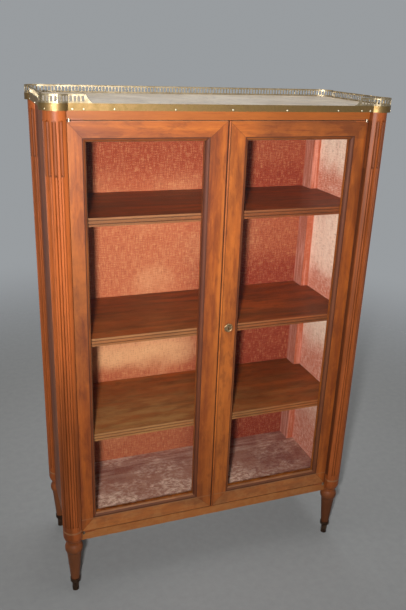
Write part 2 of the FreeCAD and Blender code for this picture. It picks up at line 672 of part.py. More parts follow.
def gap_across(y):
    """One gap in a run along X."""
    ys = (f"{y} - gallery_thickness - overrun", f"{y} + gallery_thickness + overrun")
    return lambda x: block((f"{x} - gallery_gap_width / 2", f"{x} + gallery_gap_width / 2"), ys, gap_z)


def gap_along(x):
    """One gap in a run along Y."""
    xs = (f"{x} - gallery_thickness - overrun", f"{x} + gallery_thickness + overrun")
    return lambda y: block(xs, (f"{y} - gallery_gap_width / 2", f"{y} + gallery_gap_width / 2"), gap_z)


def gap_ring(x, y, first_deg, last_deg):
    """Gaps round a boss axis between two angles."""
    r = value(f"{boss_r} - gallery_inset")
    count = int(math.radians(last_deg - first_deg) * r / value("gallery_pitch"))
    step_deg = (last_deg - first_deg) / count
    gaps = []
    for step in range(count):
        angle = first_deg + step_deg * (step + 0.5)
        gap = doc.addObject("Part::Box", "Gap")
        bind(gap, "Length", "boss_dia / 2")
        bind(gap, "Width", "gallery_gap_width")
        bind(gap, "Height", f"{gap_z[1]} - ({gap_z[0]})")
        inner = f"({boss_r} - {gallery_back_inset} - overrun)"
        gaps.append(place(gap, f"{x} + {inner} * cos({angle}) + gallery_gap_width / 2 * sin({angle})",
                          f"{y} + {inner} * sin({angle}) - gallery_gap_width / 2 * cos({angle})", gap_z[0],
                          FreeCAD.Rotation(ABOUT_Z, angle)))
    return gaps


rear_line = f"({post_y} + {boss_r} - gallery_inset)"
front_line = minus(f"{post_y} + top_overhang - gallery_inset")
back_run = common(gallery_ring, block((minus(post_x), post_x), ("0", far_y), gallery_z))
keep("gallery_back", cut(back_run, group(gap_row(minus(post_x), post_x, gap_across(rear_line)))))

end_cut = padded("XZ_Plane", [
    (f"0 - {gallery_end}", "top_height"), (gallery_end, "top_height"),
    (f"{gallery_end} + gallery_end_slope", gallery_high), (f"0 - {gallery_end} - gallery_end_slope", gallery_high)], far_y)
end_gap = f"({gallery_end} + gallery_end_slope)"
meet_front = f"({post_x} - {boss_reach('gallery_inset')})"
BOSS_ARCS = {"left": {"rear": (90, 225), "front": (135, 315)}, "right": {"rear": (-45, 90), "front": (-135, 45)}}
for side, x_side in SIDES.items():
    axis_x = f"{x_side} * {post_x}"
    side_line = f"{x_side} * ({post_x} + top_overhang - gallery_inset)"
    side_run = common(gallery_ring, block(span(x_side, post_x, far_x), (minus(gallery_joint_y), far_y), gallery_z))
    side_gaps = gap_row(minus(gallery_joint_y), gallery_joint_y, gap_along(side_line))
    rear_gaps = gap_ring(axis_x, post_y, *BOSS_ARCS[side]["rear"])
    corner = common(cut(gallery_ring, end_cut),
                    block(span(x_side, "0", far_x), (minus(far_y), minus(gallery_joint_y)), gallery_z))
    low, high = span(x_side, end_gap, meet_front)
    return_gaps = gap_row(low, high, gap_across(front_line))
    front_gaps = gap_ring(axis_x, minus(post_y), *BOSS_ARCS[side]["front"])
    gaps = [group(row) for row in (side_gaps, rear_gaps, return_gaps, front_gaps)]
    keep(f"gallery_{side}", cut(fuse([side_run, corner]), *gaps))

# Check and export
doc.recompute()
for item in doc.Objects:
    if "Invalid" in item.State or "Error" in item.State:
        raise RuntimeError(f"{item.Name} ({item.Label}) did not compute: {item.State}")
os.makedirs("parts", exist_ok=True)
for node in nodes:
    if node.Shape.isNull() or not node.Shape.isValid() or not node.Shape.Solids:
        raise RuntimeError(f"{node.Label} has no valid shape")
    node.Shape.exportStep(f"parts/{node.Label}.step")
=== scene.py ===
"""Dresses the glazed bookcase: lining, pierced gallery, nails, other small fittings, finishes and studio."""
import json
import math
from functools import reduce

import bmesh
import bpy
from bpy.props import FloatProperty, FloatVectorProperty, PointerProperty
from mathutils import Matrix, Vector

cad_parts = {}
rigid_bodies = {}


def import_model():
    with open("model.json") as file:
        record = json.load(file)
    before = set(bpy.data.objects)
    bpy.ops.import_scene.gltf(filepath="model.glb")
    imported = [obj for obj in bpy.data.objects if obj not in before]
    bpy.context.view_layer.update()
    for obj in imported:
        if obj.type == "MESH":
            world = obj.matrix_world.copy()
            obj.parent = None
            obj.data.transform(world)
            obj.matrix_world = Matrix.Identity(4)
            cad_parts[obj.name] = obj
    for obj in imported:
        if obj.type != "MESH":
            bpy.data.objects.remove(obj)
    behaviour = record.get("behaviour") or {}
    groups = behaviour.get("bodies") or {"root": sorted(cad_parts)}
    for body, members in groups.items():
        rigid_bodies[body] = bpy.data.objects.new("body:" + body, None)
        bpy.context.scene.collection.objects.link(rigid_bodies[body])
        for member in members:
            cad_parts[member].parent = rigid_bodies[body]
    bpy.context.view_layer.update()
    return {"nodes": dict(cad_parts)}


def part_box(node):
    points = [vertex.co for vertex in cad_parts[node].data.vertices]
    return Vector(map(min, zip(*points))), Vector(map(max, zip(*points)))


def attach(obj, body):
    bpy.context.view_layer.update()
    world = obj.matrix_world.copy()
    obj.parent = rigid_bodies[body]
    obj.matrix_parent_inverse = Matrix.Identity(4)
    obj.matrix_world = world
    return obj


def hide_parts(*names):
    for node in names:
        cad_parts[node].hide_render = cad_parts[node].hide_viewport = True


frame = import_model()
NODES = frame["nodes"]

bl_info = {
    "name": "Glazed bookcase",
    "version": (1, 0, 0),
    "blender": (4, 5, 0),
    "location": "View3D > Sidebar > Bookcase",
    "description": "Cloth lining, pierced gallery, small fittings, finishes and studio of a glazed bookcase",
    "category": "Object",
}

# Sizes that repeat the part's, in metres
FERRULE_R = 0.0145
BASE_Z = 0.2225
ROD_DROP = 0.147
GLASS_HOLD = 0.007
LINING = 0.001

# Places taken from the frame, in metres
SIDES = {"left": -1, "right": 1}
SHELF_TOPS = [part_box(name)[1].z for name in ("floor_lining", "lower_shelf", "middle_shelf", "upper_shelf")]
TOP_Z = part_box("marble_top")[1].z
ROD_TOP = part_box("front_left_post")[1].z - ROD_DROP
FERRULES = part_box("ferrules")[1]
POST_X, POST_Y = FERRULES.x - FERRULE_R, FERRULES.y - FERRULE_R

# Bounds of the feet, the flutes and a door's moulding, in metres
FOOT = (0.12, 0.215)
FLUTES = (0.236, 0.242, 1.350, 1.357)
MOULDING = (0.0014, 0.0026, 0.0095, 0.0108)

# Colours that aren't settings
# Paler wood, laid on as painted highlights along the doors' edges and the columns' bead, as painted sheen on
# the feet, and as wear and painted light on the shelves' front edges
WORN_AND_LIT_WOOD = (0.25, 0.112, 0.050)
# Dust colour, laid on the bottom rails as dust and on the lower shelves as dust and painted sheen
DUST_AND_SHEEN = (0.36, 0.165, 0.056)
STAINED_LEAF = (0.22, 0.055, 0.010)
FITTING = (0.66, 0.44, 0.24)
PIVOT, PIVOT_DULL = (0.46, 0.38, 0.29), (0.24, 0.18, 0.12)
FERRULE, FERRULE_DULL = (0.135, 0.076, 0.047), (0.055, 0.031, 0.021)
NAIL = (0.95, 0.86, 0.66)
STONE_DARK, STONE, STONE_PALE = (0.45, 0.36, 0.255), (0.59, 0.49, 0.37), (0.69, 0.60, 0.475)
STONE_VEIN, STONE_GRAIN = (0.29, 0.26, 0.24), (0.36, 0.33, 0.30)
STEEL_DARK, STEEL, STEEL_RUST = (0.30, 0.29, 0.27), (0.46, 0.45, 0.43), (0.20, 0.13, 0.08)
GLASS_MIRROR, GLASS_CLEAR = (0.93, 0.95, 0.94), (0.97, 0.98, 0.97)
# Pale thread colours, laid on the threads that stand up as a painted highlight
THREAD_HIGHLIGHT, WALL_THREAD_HIGHLIGHT, POST_THREAD_HIGHLIGHT = (0.70, 0.345, 0.155), (1.0, 0.84, 0.72), (0.90, 0.48, 0.36)
DAYLIGHT = (1.0, 0.97, 0.93)

# Share of the cloth's red, green and blue that is left where it is darkened: painted shade on the back,
# darker patches on the floor
DEEP_SHARES = (0.54, 0.20, 0.16)


# Settings
def size(label, about, default):
    return FloatProperty(name=label, description=about, default=default, unit="LENGTH", precision=5)


def tint(label, about, default):
    return FloatVectorProperty(name=label, description=about, default=default, size=3, subtype="COLOR",
                               min=0, max=1)


class BookcaseCloth(bpy.types.PropertyGroup):
    """The lining."""
    thickness: size("Thickness", "Thickness of the cloth", 0.0006)
    ripple: size("Ripple", "How far the stretched cloth strays from flat", 0.00018)
    spacing: size("Mesh spacing", "Distance between the rows of the cloth's mesh", 0.022)
    thread: size("Thread", "Distance between neighbouring threads", 0.0024)
    red: tint("Red", "Colour where no light has reached the cloth", (0.405, 0.088, 0.036))
    faded: tint("Faded", "Colour of the bleached walls", (0.98, 0.66, 0.50))
    back_faded: tint("Faded back", "Colour of the bleached back", (0.96, 0.56, 0.28))
    post_faded: tint("Faded post", "Colour of the rear posts' pale streaks", (0.74, 0.315, 0.235))
    floor: tint("Floor", "Colour of the cloth on the floor", (0.33, 0.102, 0.060))
    dusty: tint("Dusty", "Colour of the dust on the floor's cloth", (0.80, 0.52, 0.40))


class BookcaseGallery(bpy.types.PropertyGroup):
    """The pierced gallery round the top, its band and the nails."""
    height: size("Height", "Height of the gallery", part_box("gallery_back")[1].z - TOP_Z)
    pitch: size("Pitch", "Distance from arch to arch", 0.0092)
    opening: size("Opening", "Width of each arch's opening", 0.0060)
    sheet: size("Sheet", "Thickness of the pierced sheet", 0.0010)
    rail: size("Rail", "Height of the plain strip below and above the arches", 0.0040)
    bead: size("Bead", "Radius of the beads along the gallery", 0.0008)
    nail: size("Nail head", "Radius of a nail's head in the band", 0.0023)
    nail_spacing: size("Nail spacing", "Distance between the band's nails", 0.157)
    brass: tint("Brass", "Colour of the gallery where it is rubbed", (0.47, 0.38, 0.245))
    dull: tint("Dull", "Colour of the gallery where it is dull", (0.22, 0.17, 0.10))
    nail_dull: tint("Dull nails", "Colour of the nails where they are dull", (0.52, 0.36, 0.165))
    band: tint("Band", "Colour of the brass band", (0.255, 0.158, 0.064))
    tarnish: tint("Tarnish", "Colour of the dull brass of the band and the fittings", (0.20, 0.128, 0.048))


class BookcaseWood(bpy.types.PropertyGroup):
    """The polished wood."""
    light: tint("Light", "Pale streaks of the polished wood", (0.315, 0.085, 0.011))
    middle: tint("Middle", "Main colour of the polished wood", (0.240, 0.056, 0.007))
    dark: tint("Dark", "Dark streaks of the polished wood", (0.125, 0.024, 0.0045))
    column: tint("Column", "Main colour of the columns", (0.245, 0.0585, 0.0120))
    shelf: tint("Shelf", "Main colour of the shelves", (0.168, 0.0275, 0.0036))
    grain: FloatProperty(name="Grain", description="Depth of the grain's relief", default=0.12, min=0, max=1,
                         subtype="FACTOR")


class BookcaseStudio(bpy.types.PropertyGroup):
    """Floor, light and camera."""
    floor: tint("Floor", "Colour of the floor", (0.300, 0.306, 0.306))
    backdrop: tint("Backdrop", "Colour behind the bookcase", (0.318, 0.335, 0.350))
    lens: FloatProperty(name="Lens", description="Focal length in millimetres, on a 24 mm high sensor",
                        default=25.84, unit="CAMERA")
    lamps: FloatProperty(name="Lamps", description="Strength of all the lamps", default=1.0, min=0)


# Nodes
def scaled(colour, factor):
    return tuple(part * factor for part in colour)


def opaque(colour):
    return tuple(min(1.0, part) for part in colour) + (1.0,)


class Socket:
    """A socket of a node tree. Sums on it add Math nodes, and node() adds any other."""

    def __init__(self, tree, socket=None):
        self.tree = tree
        self.socket = socket

    def node(self, kind, inputs=None, output=0, **settings):
        """Adds a node: its settings first, then the values or links of its sockets."""
        made = self.tree.nodes.new(kind)
        for key, value in settings.items():
            if key == "stops":
                elements = made.color_ramp.elements
                while len(elements) < len(value):
                    elements.new(1.0)
                for element, (place, colour) in zip(elements, value):
                    element.position, element.color = place, opaque(colour)
            else:
                setattr(made, key, value)
        for key, value in (inputs or {}).items():
            for item in value if isinstance(value, list) else [value]:
                if isinstance(item, Socket):
                    self.tree.links.new(item.socket, made.inputs[key])
                else:
                    made.inputs[key].default_value = item
        return Socket(self.tree, made.outputs[output] if len(made.outputs) else None)

    def math(self, operation, *values):
        return self.node("ShaderNodeMath", dict(enumerate(values)), operation=operation)

    def __add__(self, other):
        return self.math("ADD", self, other)

    __radd__ = __add__

    def __sub__(self, other):
        return self.math("SUBTRACT", self, other)

    def __rsub__(self, other):
        return self.math("SUBTRACT", other, self)

    def __mul__(self, other):
        return self.math("MULTIPLY", self, other)

    __rmul__ = __mul__

    def absolute(self):
        return self.math("ABSOLUTE", self)

    def sine(self):
        return self.math("SINE", self)

    def peak(self, other):
        return self.math("MAXIMUM", self, other)

    def step(self, low, high):
        """0 below low, 1 above high, smooth between."""
        return self.node("ShaderNodeMapRange", {"Value": self, "From Min": low, "From Max": high},
                         interpolation_type="SMOOTHSTEP")

    def fall(self, low, high):
        """1 below low, 0 above high, smooth between."""
        return 1 - self.step(low, high)

    def band(self, low, full, fade, gone):
        """1 from full to fade, 0 below low and above gone."""
        return self.step(low, full) * self.fall(fade, gone)

    def ramp(self, *stops):
        """Colours by (value, colour) stops."""
        return self.node("ShaderNodeValToRGB", {0: self}, stops=stops)

    def between(self, none, full):
        """The colour none where this is 0, full where it is 1."""
        first, second = (item if isinstance(item, Socket) else opaque(item) for item in (none, full))
        return self.node("ShaderNodeMix", {0: self, 6: first, 7: second}, 2, data_type="RGBA")

    def mix(self, other, share):
        """This colour with another laid over it."""
        return share.between(self, other)

    def axis(self, name):
        return self.node("ShaderNodeSeparateXYZ", {0: self}, name)

    def stretched(self, *scale):
        return self.node("ShaderNodeMapping", {"Vector": self, "Scale": scale})

    def noise(self, scale, detail=3.0, roughness=0.55, distortion=0.0):
        return self.node("ShaderNodeTexNoise", {
            "Vector": self, "Scale": scale, "Detail": detail, "Roughness": roughness,
            "Distortion": distortion})

    def bump(self, strength, distance):
        return self.node("ShaderNodeBump", {"Height": self, "Strength": strength, "Distance": distance})

    def lifted(self, level):
        """This geometry, moved up."""
        up = self.node("ShaderNodeCombineXYZ", {"Z": level})
        return self.node("GeometryNodeTransform", {"Geometry": self, "Translation": up})

    def joined(self, *others):
        return self.node("GeometryNodeJoinGeometry", {0: [self, *others]})


def strongest(masks):
    return reduce(Socket.peak, masks)


def empty_tree(block):
    """Clears the nodes of a material or world."""
    block.use_nodes = True
    block.node_tree.nodes.clear()
    return Socket(block.node_tree)


def surface(name, build, **plain):
    """A material: build(place) gives the values that vary over the surface, plain the sockets that don't."""
    material = bpy.data.materials.new(name)
    tree = empty_tree(material)
    sockets = {key.replace("_", " "): value for key, value in plain.items()}
    sockets.update(build(tree.node("ShaderNodeTexCoord", output="Object")))
    shader = tree.node("ShaderNodeBsdfPrincipled", sockets)
    tree.node("ShaderNodeOutputMaterial", {"Surface": shader})
    return material


def dress(material, *names):
    """Puts a material on CAD nodes."""
    for name in names:
        slots = NODES[name].data.materials
        slots.clear()
        slots.append(material)


# Wear, dirt, painted shade and painted highlights of the wood: masks from 0 to 1 by place
def door_lines():
    """The opening and the corners of a door in |x| and z, the same for both doors."""
    low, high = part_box("right_door_glass")
    opening = (low.x + GLASS_HOLD, high.x - GLASS_HOLD, low.z + GLASS_HOLD, high.z - GLASS_HOLD)
    inner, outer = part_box("right_door_meeting_stile")[0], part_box("right_door_outer_stile")[1]
    return opening, (inner.x, outer.x, inner.z, outer.z)


def across_and_up(place):
    return place.axis("X").absolute(), place.axis("Z")


def round_opening(place):
    """How far a point lies outside a door's opening, and 1 on the opening's right-hand side."""
    (left, right, low, high), _ = door_lines()
    across, up = across_and_up(place)
    outside = (left - across).peak(across - right).peak((low - up).peak(up - high))
    on_right = place.axis("X").step(-0.001, 0.001)
    soft = (-0.0004, 0.0)
    right_hand = (across - right).step(*soft) * on_right + (left - across).step(*soft) * (1 - on_right)
    return outside, right_hand


def painted_arris_highlights(place):
    """Painted highlights: pale along the opening's edge, but for its right side, along the sill and the
    doors' top edge.
    """
    (_, _, low, _), (_, _, _, door_top) = door_lines()
    outside, right_hand = round_opening(place)
    up = place.axis("Z")
    edge = outside.band(-0.0002, 0.0003, 0.0012, 0.0024) * (1 - right_hand)
    sill = (low - up).band(0.0094, 0.0104, 0.0124, 0.0140) * 0.7
    return strongest([edge, up.step(door_top - 0.0016, door_top - 0.0008), sill])


def mitres(place):
    """A line along the four mitres of a door."""
    (left, right, low, high), (door_left, door_right, door_low, door_top) = door_lines()
    across, up = across_and_up(place)
    lines = []
    for x, corner_x in ((left, door_left), (right, door_right)):
        for z, corner_z in ((low, door_low), (high, door_top)):
            run, rise = corner_x - x, corner_z - z
            length = math.hypot(run, rise)
            apart = (across - x) * (rise / length) - (up - z) * (run / length)
            along = (across - x) * (run / length) + (up - z) * (rise / length)
            lines.append(apart.absolute().fall(0.0003, 0.0009) * along.step(-0.001, 0.001))
    return strongest(lines)


def door_dirt_and_shade(place):
    """Dark lines along the mitres; painted shade in the moulding's hollow, on the moulding below the opening
    and on its right-hand side, in the right-hand reveal, beside the bead and along the doors' rims; and
    darker patches near the opening and on parts of the stiles and rails.
    """
    (left, _, low, high), (door_left, door_right, door_low, _) = door_lines()
    across, up = across_and_up(place)
    sideways = place.axis("X")
    outside, right_hand = round_opening(place)
    # Painted shade on the moulding below the opening and on its right-hand side, in its hollow and in the
    # right-hand reveal
    moulded = outside.band(*MOULDING)
    shaded = moulded * (low - up).step(0.0010, 0.0016).peak(right_hand) * 0.74
    hollow = moulded * 0.50 + moulded * outside.step(0.0062, 0.0078) * 0.40
    reveal = right_hand * outside.fall(0.0020, 0.0032) * 0.85
    stain = place.noise(16, 4, 0.65).step(0.35, 0.62)
    near_opening = outside.fall(0.008, 0.024) * stain * 0.30
    # Painted shade beside the meeting bead
    beside_bead = (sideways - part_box("meeting_bead")[1].x).band(-0.0004, 0.0002, 0.0012, 0.0020) * 0.7
    left_stile = sideways.fall(-0.356, -0.350) * up.band(0.56, 0.74, 1.00, 1.14) * 0.40
    right_rail = sideways.step(0.02, 0.12) * up.step(high, high + 0.006) * 0.32
    meeting = across.fall(left - 0.004, left) * up.fall(0.80, 1.05) * 0.14
    dull = (left_stile + right_rail + meeting) * (0.7 + stain * 0.6)
    # Painted shadow along the doors' rims
    rim = (across - door_right).peak(door_left - across).peak(door_low - up).step(-0.0026, -0.0012) * 0.8
    return strongest([mitres(place) * 0.5, hollow, shaded, reveal, near_opening, dull, rim, beside_bead])


def painted_flute_and_foot_shade(place):
    """Painted shade in the flutes, by how far they lie inside the column's round, and the feet below darker,
    the right one darker still as painted shade.
    """
    across, up = across_and_up(place)
    aside, ahead = across - POST_X, place.axis("Y").absolute() - POST_Y
    from_axis = aside.math("SQRT", aside * aside + ahead * ahead)
    open_end = up.step(ROD_TOP - 0.002, ROD_TOP + 0.002)
    bottom = from_axis.fall(0.0252, 0.0285) * (0.80 - open_end * 0.34)
    mouth = from_axis.band(0.0258, 0.0268, 0.0284, 0.0290) * open_end * 0.72
    # Darker feet, the right one darker still: painted shade on the right
    feet = up.fall(*FOOT) * (0.42 + place.axis("X").step(-0.2, 0.2) * 0.36)
    return (bottom.peak(mouth) * up.band(*FLUTES)).peak(feet)


def painted_base_highlights(place):
    """A painted highlight on the bead at the foot of each column, and a painted sheen that makes the turned
    foot below it greyer.
    """
    up = place.axis("Z")
    bead = up.band(BASE_Z - 0.004, BASE_Z - 0.003, BASE_Z + 0.0005, BASE_Z + 0.001)
    return bead.peak(up.fall(*FOOT) * 0.42)


def front_edge(place):
    """1 on the front edge of the shelves, 0 behind it."""
    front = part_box("upper_shelf")[0].y
    return place.axis("Y").fall(front + 0.0022, front + 0.0042)


def worn_and_lit_shelf_edge(place):
    """The shelves' front edges are paler from wear, paler still towards the left as painted light, and along
    the top as a painted highlight.
    """
    up = place.axis("Z")
    upper = strongest(up.band(top - 0.005, top - 0.004, top + 0.002, top + 0.003) for top in SHELF_TOPS[1:])
    return front_edge(place) * (1 - place.axis("X").step(-0.25, 0.3) * 0.65) * (0.75 + upper * 0.3)


def painted_quirk_shade(place):
    """Painted shade in the two quirks of each shelf's front edge."""
    up = place.axis("Z")
    levels = [top - drop for top in SHELF_TOPS[1:] for drop in (0.0065, 0.0155)]
    lines = strongest((up - level).absolute().fall(0.0007, 0.0016) for level in levels)
    return lines * front_edge(place) * 0.7


def shelf_dust_and_sheen(place):
    """Dust and painted sheen: thick on the lowest shelf and thin on the next, in patches, and more in front
    and on the left as painted light.
    """
    up = place.axis("Z")
    lower = (1 - up.step(0.55, 0.70) * 0.72) * up.fall(0.85, 1.0)
    leftward = 1 - place.axis("X").step(-0.10, 0.25) * 0.6
    forward = 1 - place.axis("Y").step(-0.06, 0.11) * 0.6
    patches = place.stretched(0.35, 1, 1).noise(26, 4, 0.7).step(0.36, 0.66)
    return lower * leftward * forward * (0.45 + patches * 0.70)


def dusty_foot(place):
    """Thin dust on the bottom rails of the doors and the case."""
    return place.axis("Z").fall(0.245, 0.262) * (0.32 + place.noise(30, 4, 0.7).step(0.42, 0.66) * 0.35)


# Fading, darkening and painted shade of the cloth: masks from 0 to 1 by place
def red_above_shelves(place):
    """Bleached in upright streaks, but red in a band above each shelf."""
    height = place.axis("Z") + place.noise(16, 4, 0.65) * 0.10 - 0.025
    streaks = place.stretched(1, 1, 0.12).noise(55, 3, 0.6)
    shaded = strongest(height.band(top - 0.02, top, top + reach * 0.4, top + reach)
                       for top, reach in zip(SHELF_TOPS, (0.31, 0.21, 0.14, 0.14)))
    return (0.95 - shaded * 0.86) * (0.68 + streaks * 0.5)


def paler_low_down(place):
    """Red near the top, bleached on the left between the two lower shelves, red again near the floor."""
    height = place.axis("Z") + place.noise(10, 3, 0.6) * 0.05
    bleached = height.band(0.545, 0.600, 0.80, 0.81) * (1 - height.step(0.615, 0.670) * 0.6)
    blotches = place.noise(5, 3, 0.6).step(0.45, 0.8) * 0.22
    return 0.04 + bleached * place.axis("X").fall(0.02, 0.10) * 0.45 + blotches


def painted_back_shade(place):
    """Painted shade on the back: darker on the right, most above each shelf, near the top, and a little near
    the floor.
    """
    height = place.axis("Z")
    ragged = height + place.noise(16, 4, 0.65) * 0.08 - 0.04
    above = strongest(ragged.band(top - 0.03, top, top + 0.03, top + 0.15) for top in SHELF_TOPS)
    darkening = (0.44 + above * 0.5).peak(height.fall(0.68, 0.82) * 0.9)
    right = place.axis("X").step(-0.04, 0.12) * darkening
    return strongest([right, height.step(1.04, 1.22) * 0.72, height.fall(0.42, 0.56) * 0.08])


def streaked(place):
    """Uneven upright streaks round the corner of a rear post."""
    return place.stretched(1, 1, 0.07).noise(90, 4, 0.65).step(0.47, 0.62) * 0.50


def scuffed(place):
    """Frosty pale patches on the floor's cloth, most along the front, and streaks along its back."""
    flattened, deep = place.stretched(0.6, 1, 1), place.axis("Y")
    patches = flattened.noise(11, 5, 0.7).step(0.42, 0.62) * 0.62
    specks = flattened.noise(120, 3, 0.7).step(0.40, 0.60)
    streaks = place.stretched(0.10, 1, 1).noise(70, 4, 0.65).step(0.42, 0.64)
    frosty = (patches + deep.fall(-0.10, 0.06) * 0.34 + 0.06) * (0.2 + specks * 0.95)
    return frosty + streaks * (0.08 + deep.step(0.05, 0.12) * 0.40)


def dark_behind(place):
    """The floor's cloth is darker along the back and on the right, in patches."""
    rear = place.axis("Y").step(0.02, 0.12) * 0.5
    right = place.axis("X").step(0.10, 0.34) * 0.75
    return rear.peak(right) * (0.3 + place.noise(14, 4, 0.65).step(0.34, 0.62) * 0.7)


# Finishes
def polished_wood(name, along, light, middle, dark, grain, cloudy=0.5, rough=0.30, shine=0.3, streaky=0.45,
                  lightened=None, dusty=None, dirt_and_shade=None):
    """Wood with streaks along one axis, fine pores, a cloudy stain and a hand polish. lightened(place) gives
    where
    it is laid on paler: painted highlights, painted sheen and wear. dusty(place) gives where dust and, on the
    shelves, painted sheen lie; dirt_and_shade(place) where dark joints and painted shade darken it."""
    def build(place):
        def drawn_out(share):
            return place.stretched(*[share if axis == along else 1.0 for axis in range(3)])
        figure, lines = drawn_out(0.045).noise(22, 4, 0.6, 0.5), drawn_out(0.045).noise(150, 3, 0.65)
        pores = drawn_out(0.02).noise(620, 2, 0.5)
        cloud = drawn_out(0.22).noise(11, 3, 0.6)
        mottle = drawn_out(0.28).noise(44, 4, 0.7, 0.4)
        colour = figure.ramp((0.34, dark), (0.48, middle), (0.64, light))
        for tone, factor, share in ((dark, 1.0, lines.step(0.52, 0.74) * streaky),
                                    (light, 1.12, cloud.step(0.50, 0.72) * cloudy),
                                    (dark, 0.72, cloud.fall(0.30, 0.47) * cloudy * 0.8),
                                    (dark, 0.8, mottle.fall(0.36, 0.52) * cloudy * 0.6),
                                    (light, 1.25, mottle.step(0.53, 0.68) * cloudy * 0.4),
                                    (dark, 0.45, pores.step(0.60, 0.70) * streaky)):
            colour = colour.mix(scaled(tone, factor), share)
        # Paler wood: painted highlights and painted sheen, and wear on the shelves' front edges
        if lightened:
            colour = colour.mix(WORN_AND_LIT_WOOD, lightened(place) * (0.35 + lines * 0.9))
        # Dust, and on the lower shelves painted sheen as well
        if dusty:
            colour = colour.mix(DUST_AND_SHEEN, dusty(place) * (0.4 + lines * 0.6))
        roughness = rough + cloud * 0.16 + lines * 0.06
        # Dark joints and painted shade
        if dirt_and_shade:
            darkened = dirt_and_shade(place)
            colour = colour.mix(scaled(dark, 0.3), darkened)
            roughness = roughness + darkened * 0.25
        relief = (lines * 0.6 - pores.step(0.58, 0.70) * 0.6).bump(grain, 0.0006)
        return {"Base Color": colour, "Roughness": roughness, "Normal": relief}
    return surface(name, build, Coat_Weight=0.05, Coat_Roughness=0.15, Specular_IOR_Level=shine)


def worn_brass(name, bright, dull, share, low=0.26, high=0.52, let_in=None, patch=46):
    """Brass with dull patches, as rough as low where it is bright and as high where it is dull. What lies
    behind let_in is stained like the wood round it."""
    def build(place):
        specks = place.noise(420, 3, 0.6)
        dulled = place.noise(patch, 5, 0.65, 0.4).step(0.36, 0.62) * share
        colour = dulled.between(bright, dull).mix(scaled(dull, 0.5), specks.step(0.56, 0.72) * 0.45)
        made = {"Base Color": colour, "Roughness": low + dulled * (high - low) + specks * 0.08,
                "Normal": specks.bump(0.1, 0.0004)}
        if let_in is not None:
            stained = place.axis("Y").step(let_in - 0.001, let_in)
            made["Base Color"] = colour.mix(STAINED_LEAF, stained)
            made["Metallic"] = 1 - stained
        return made
    return surface(name, build, Metallic=1.0)


def coarse_cloth(name, thread, red, pale, fading, contrast=1.0, deep=None, thread_highlight=THREAD_HIGHLIGHT):
    """Loose plain weave with uneven threads, those that stand up paler as a painted highlight and the low
    ones darker as painted shade. fading(place) gives how far light has bleached it, deep(place) where it is
    darker."""
    def build(place):
        flat = place.node("ShaderNodeUVMap", uv_map="cloth")
        turn, coarse, fine = math.pi / thread, 0.85 / thread, (0.09 / thread, 0.12 / thread)
        upright = flat.stretched(coarse, fine[0], 1).noise(1.0, 2, 0.6)
        level = flat.stretched(fine[1], coarse, 1).noise(1.0, 2, 0.6)
        weave = (flat.axis("X") * turn).sine() * (flat.axis("Y") * turn).sine()
        slubs = upright * 0.5 + level * 0.45 + weave * 0.045 + 0.025
        wear = place.noise(9, 4, 0.6)
        colour = fading(place).between(red, pale)
        lifted = slubs.step(0.48, 0.66) * 0.42 * contrast
        if deep:
            # Darker where deep says; on the back this is painted shade
            darkening = deep(place)
            colour = colour.mix([part * share for part, share in zip(red, DEEP_SHARES)], darkening)
            lifted = lifted * (1 - darkening * 0.25)
        # Threads that stand up made paler, a painted highlight, and low threads darker, painted shade
        colour = colour.mix(thread_highlight, lifted)
        colour = colour.mix(scaled(red, 0.35), slubs.fall(0.32, 0.50) * 0.5 * contrast)
        colour = colour.mix(scaled(red, 0.85), wear.step(0.55, 0.75) * 0.2 * contrast)
        relief = (weave * 0.3 + slubs * 1.6).bump(0.5, 0.0012)
        return {"Base Color": colour, "Roughness": 0.86 + wear * 0.1, "Normal": relief}
    return surface(name, build, Specular_IOR_Level=0.15, Sheen_Weight=0.15)


def veined_stone(place):
    cloud = place.noise(9, 5, 0.6, 0.8)
    veins = (place.noise(6, 6, 0.62, 2.2) - 0.5).absolute().fall(0.0, 0.035)
    grains = place.noise(160, 3, 0.6)
    colour = cloud.ramp((0.30, STONE_DARK), (0.52, STONE), (0.75, STONE_PALE))
    colour = colour.mix(STONE_VEIN, veins * 0.5).mix(STONE_GRAIN, grains.step(0.58, 0.72) * 0.35)
    return {"Base Color": colour, "Roughness": 0.30 + grains * 0.16, "Normal": grains.bump(0.06, 0.0004)}


def brushed_steel(place):
    lines = place.stretched(0.05, 1, 1).noise(500, 3, 0.6)
    spots = place.noise(60, 4, 0.6)
    colour = lines.ramp((0.3, STEEL_DARK), (0.7, STEEL)).mix(STEEL_RUST, spots.step(0.56, 0.75) * 0.5)
    return {"Base Color": colour, "Roughness": 0.32 + spots * 0.2, "Normal": lines.bump(0.08, 0.0003)}


def clear_glass(name):
    """Old window glass: see-through, with a plain mirror layer that grows towards grazing angles."""
    material = bpy.data.materials.new(name)
    tree = empty_tree(material)
    place = tree.node("ShaderNodeTexCoord", output="Object")
    waves = place.stretched(1, 1, 0.4).noise(7, 2, 0.5).bump(0.05, 0.002)
    smears = place.noise(11, 4, 0.6)
    mirror = tree.node("ShaderNodeBsdfPrincipled", {
        "Base Color": opaque(GLASS_MIRROR), "Metallic": 1.0, "Roughness": 0.03 + smears * 0.05,
        "Normal": waves})
    clear = tree.node("ShaderNodeBsdfTransparent", {"Color": opaque(GLASS_CLEAR)})
    facing = tree.node("ShaderNodeLayerWeight", {"Blend": 0.5}, "Facing")
    share = 0.012 + facing.math("POWER", facing, 5.0) * 0.8
    shader = tree.node("ShaderNodeMixShader", {0: share, 1: clear, 2: mirror})
    tree.node("ShaderNodeOutputMaterial", {"Surface": shader})
    return material


# Pieces
def linked(name, data):
    made = bpy.data.objects.new(name, data)
    bpy.context.scene.collection.objects.link(made)
    return made


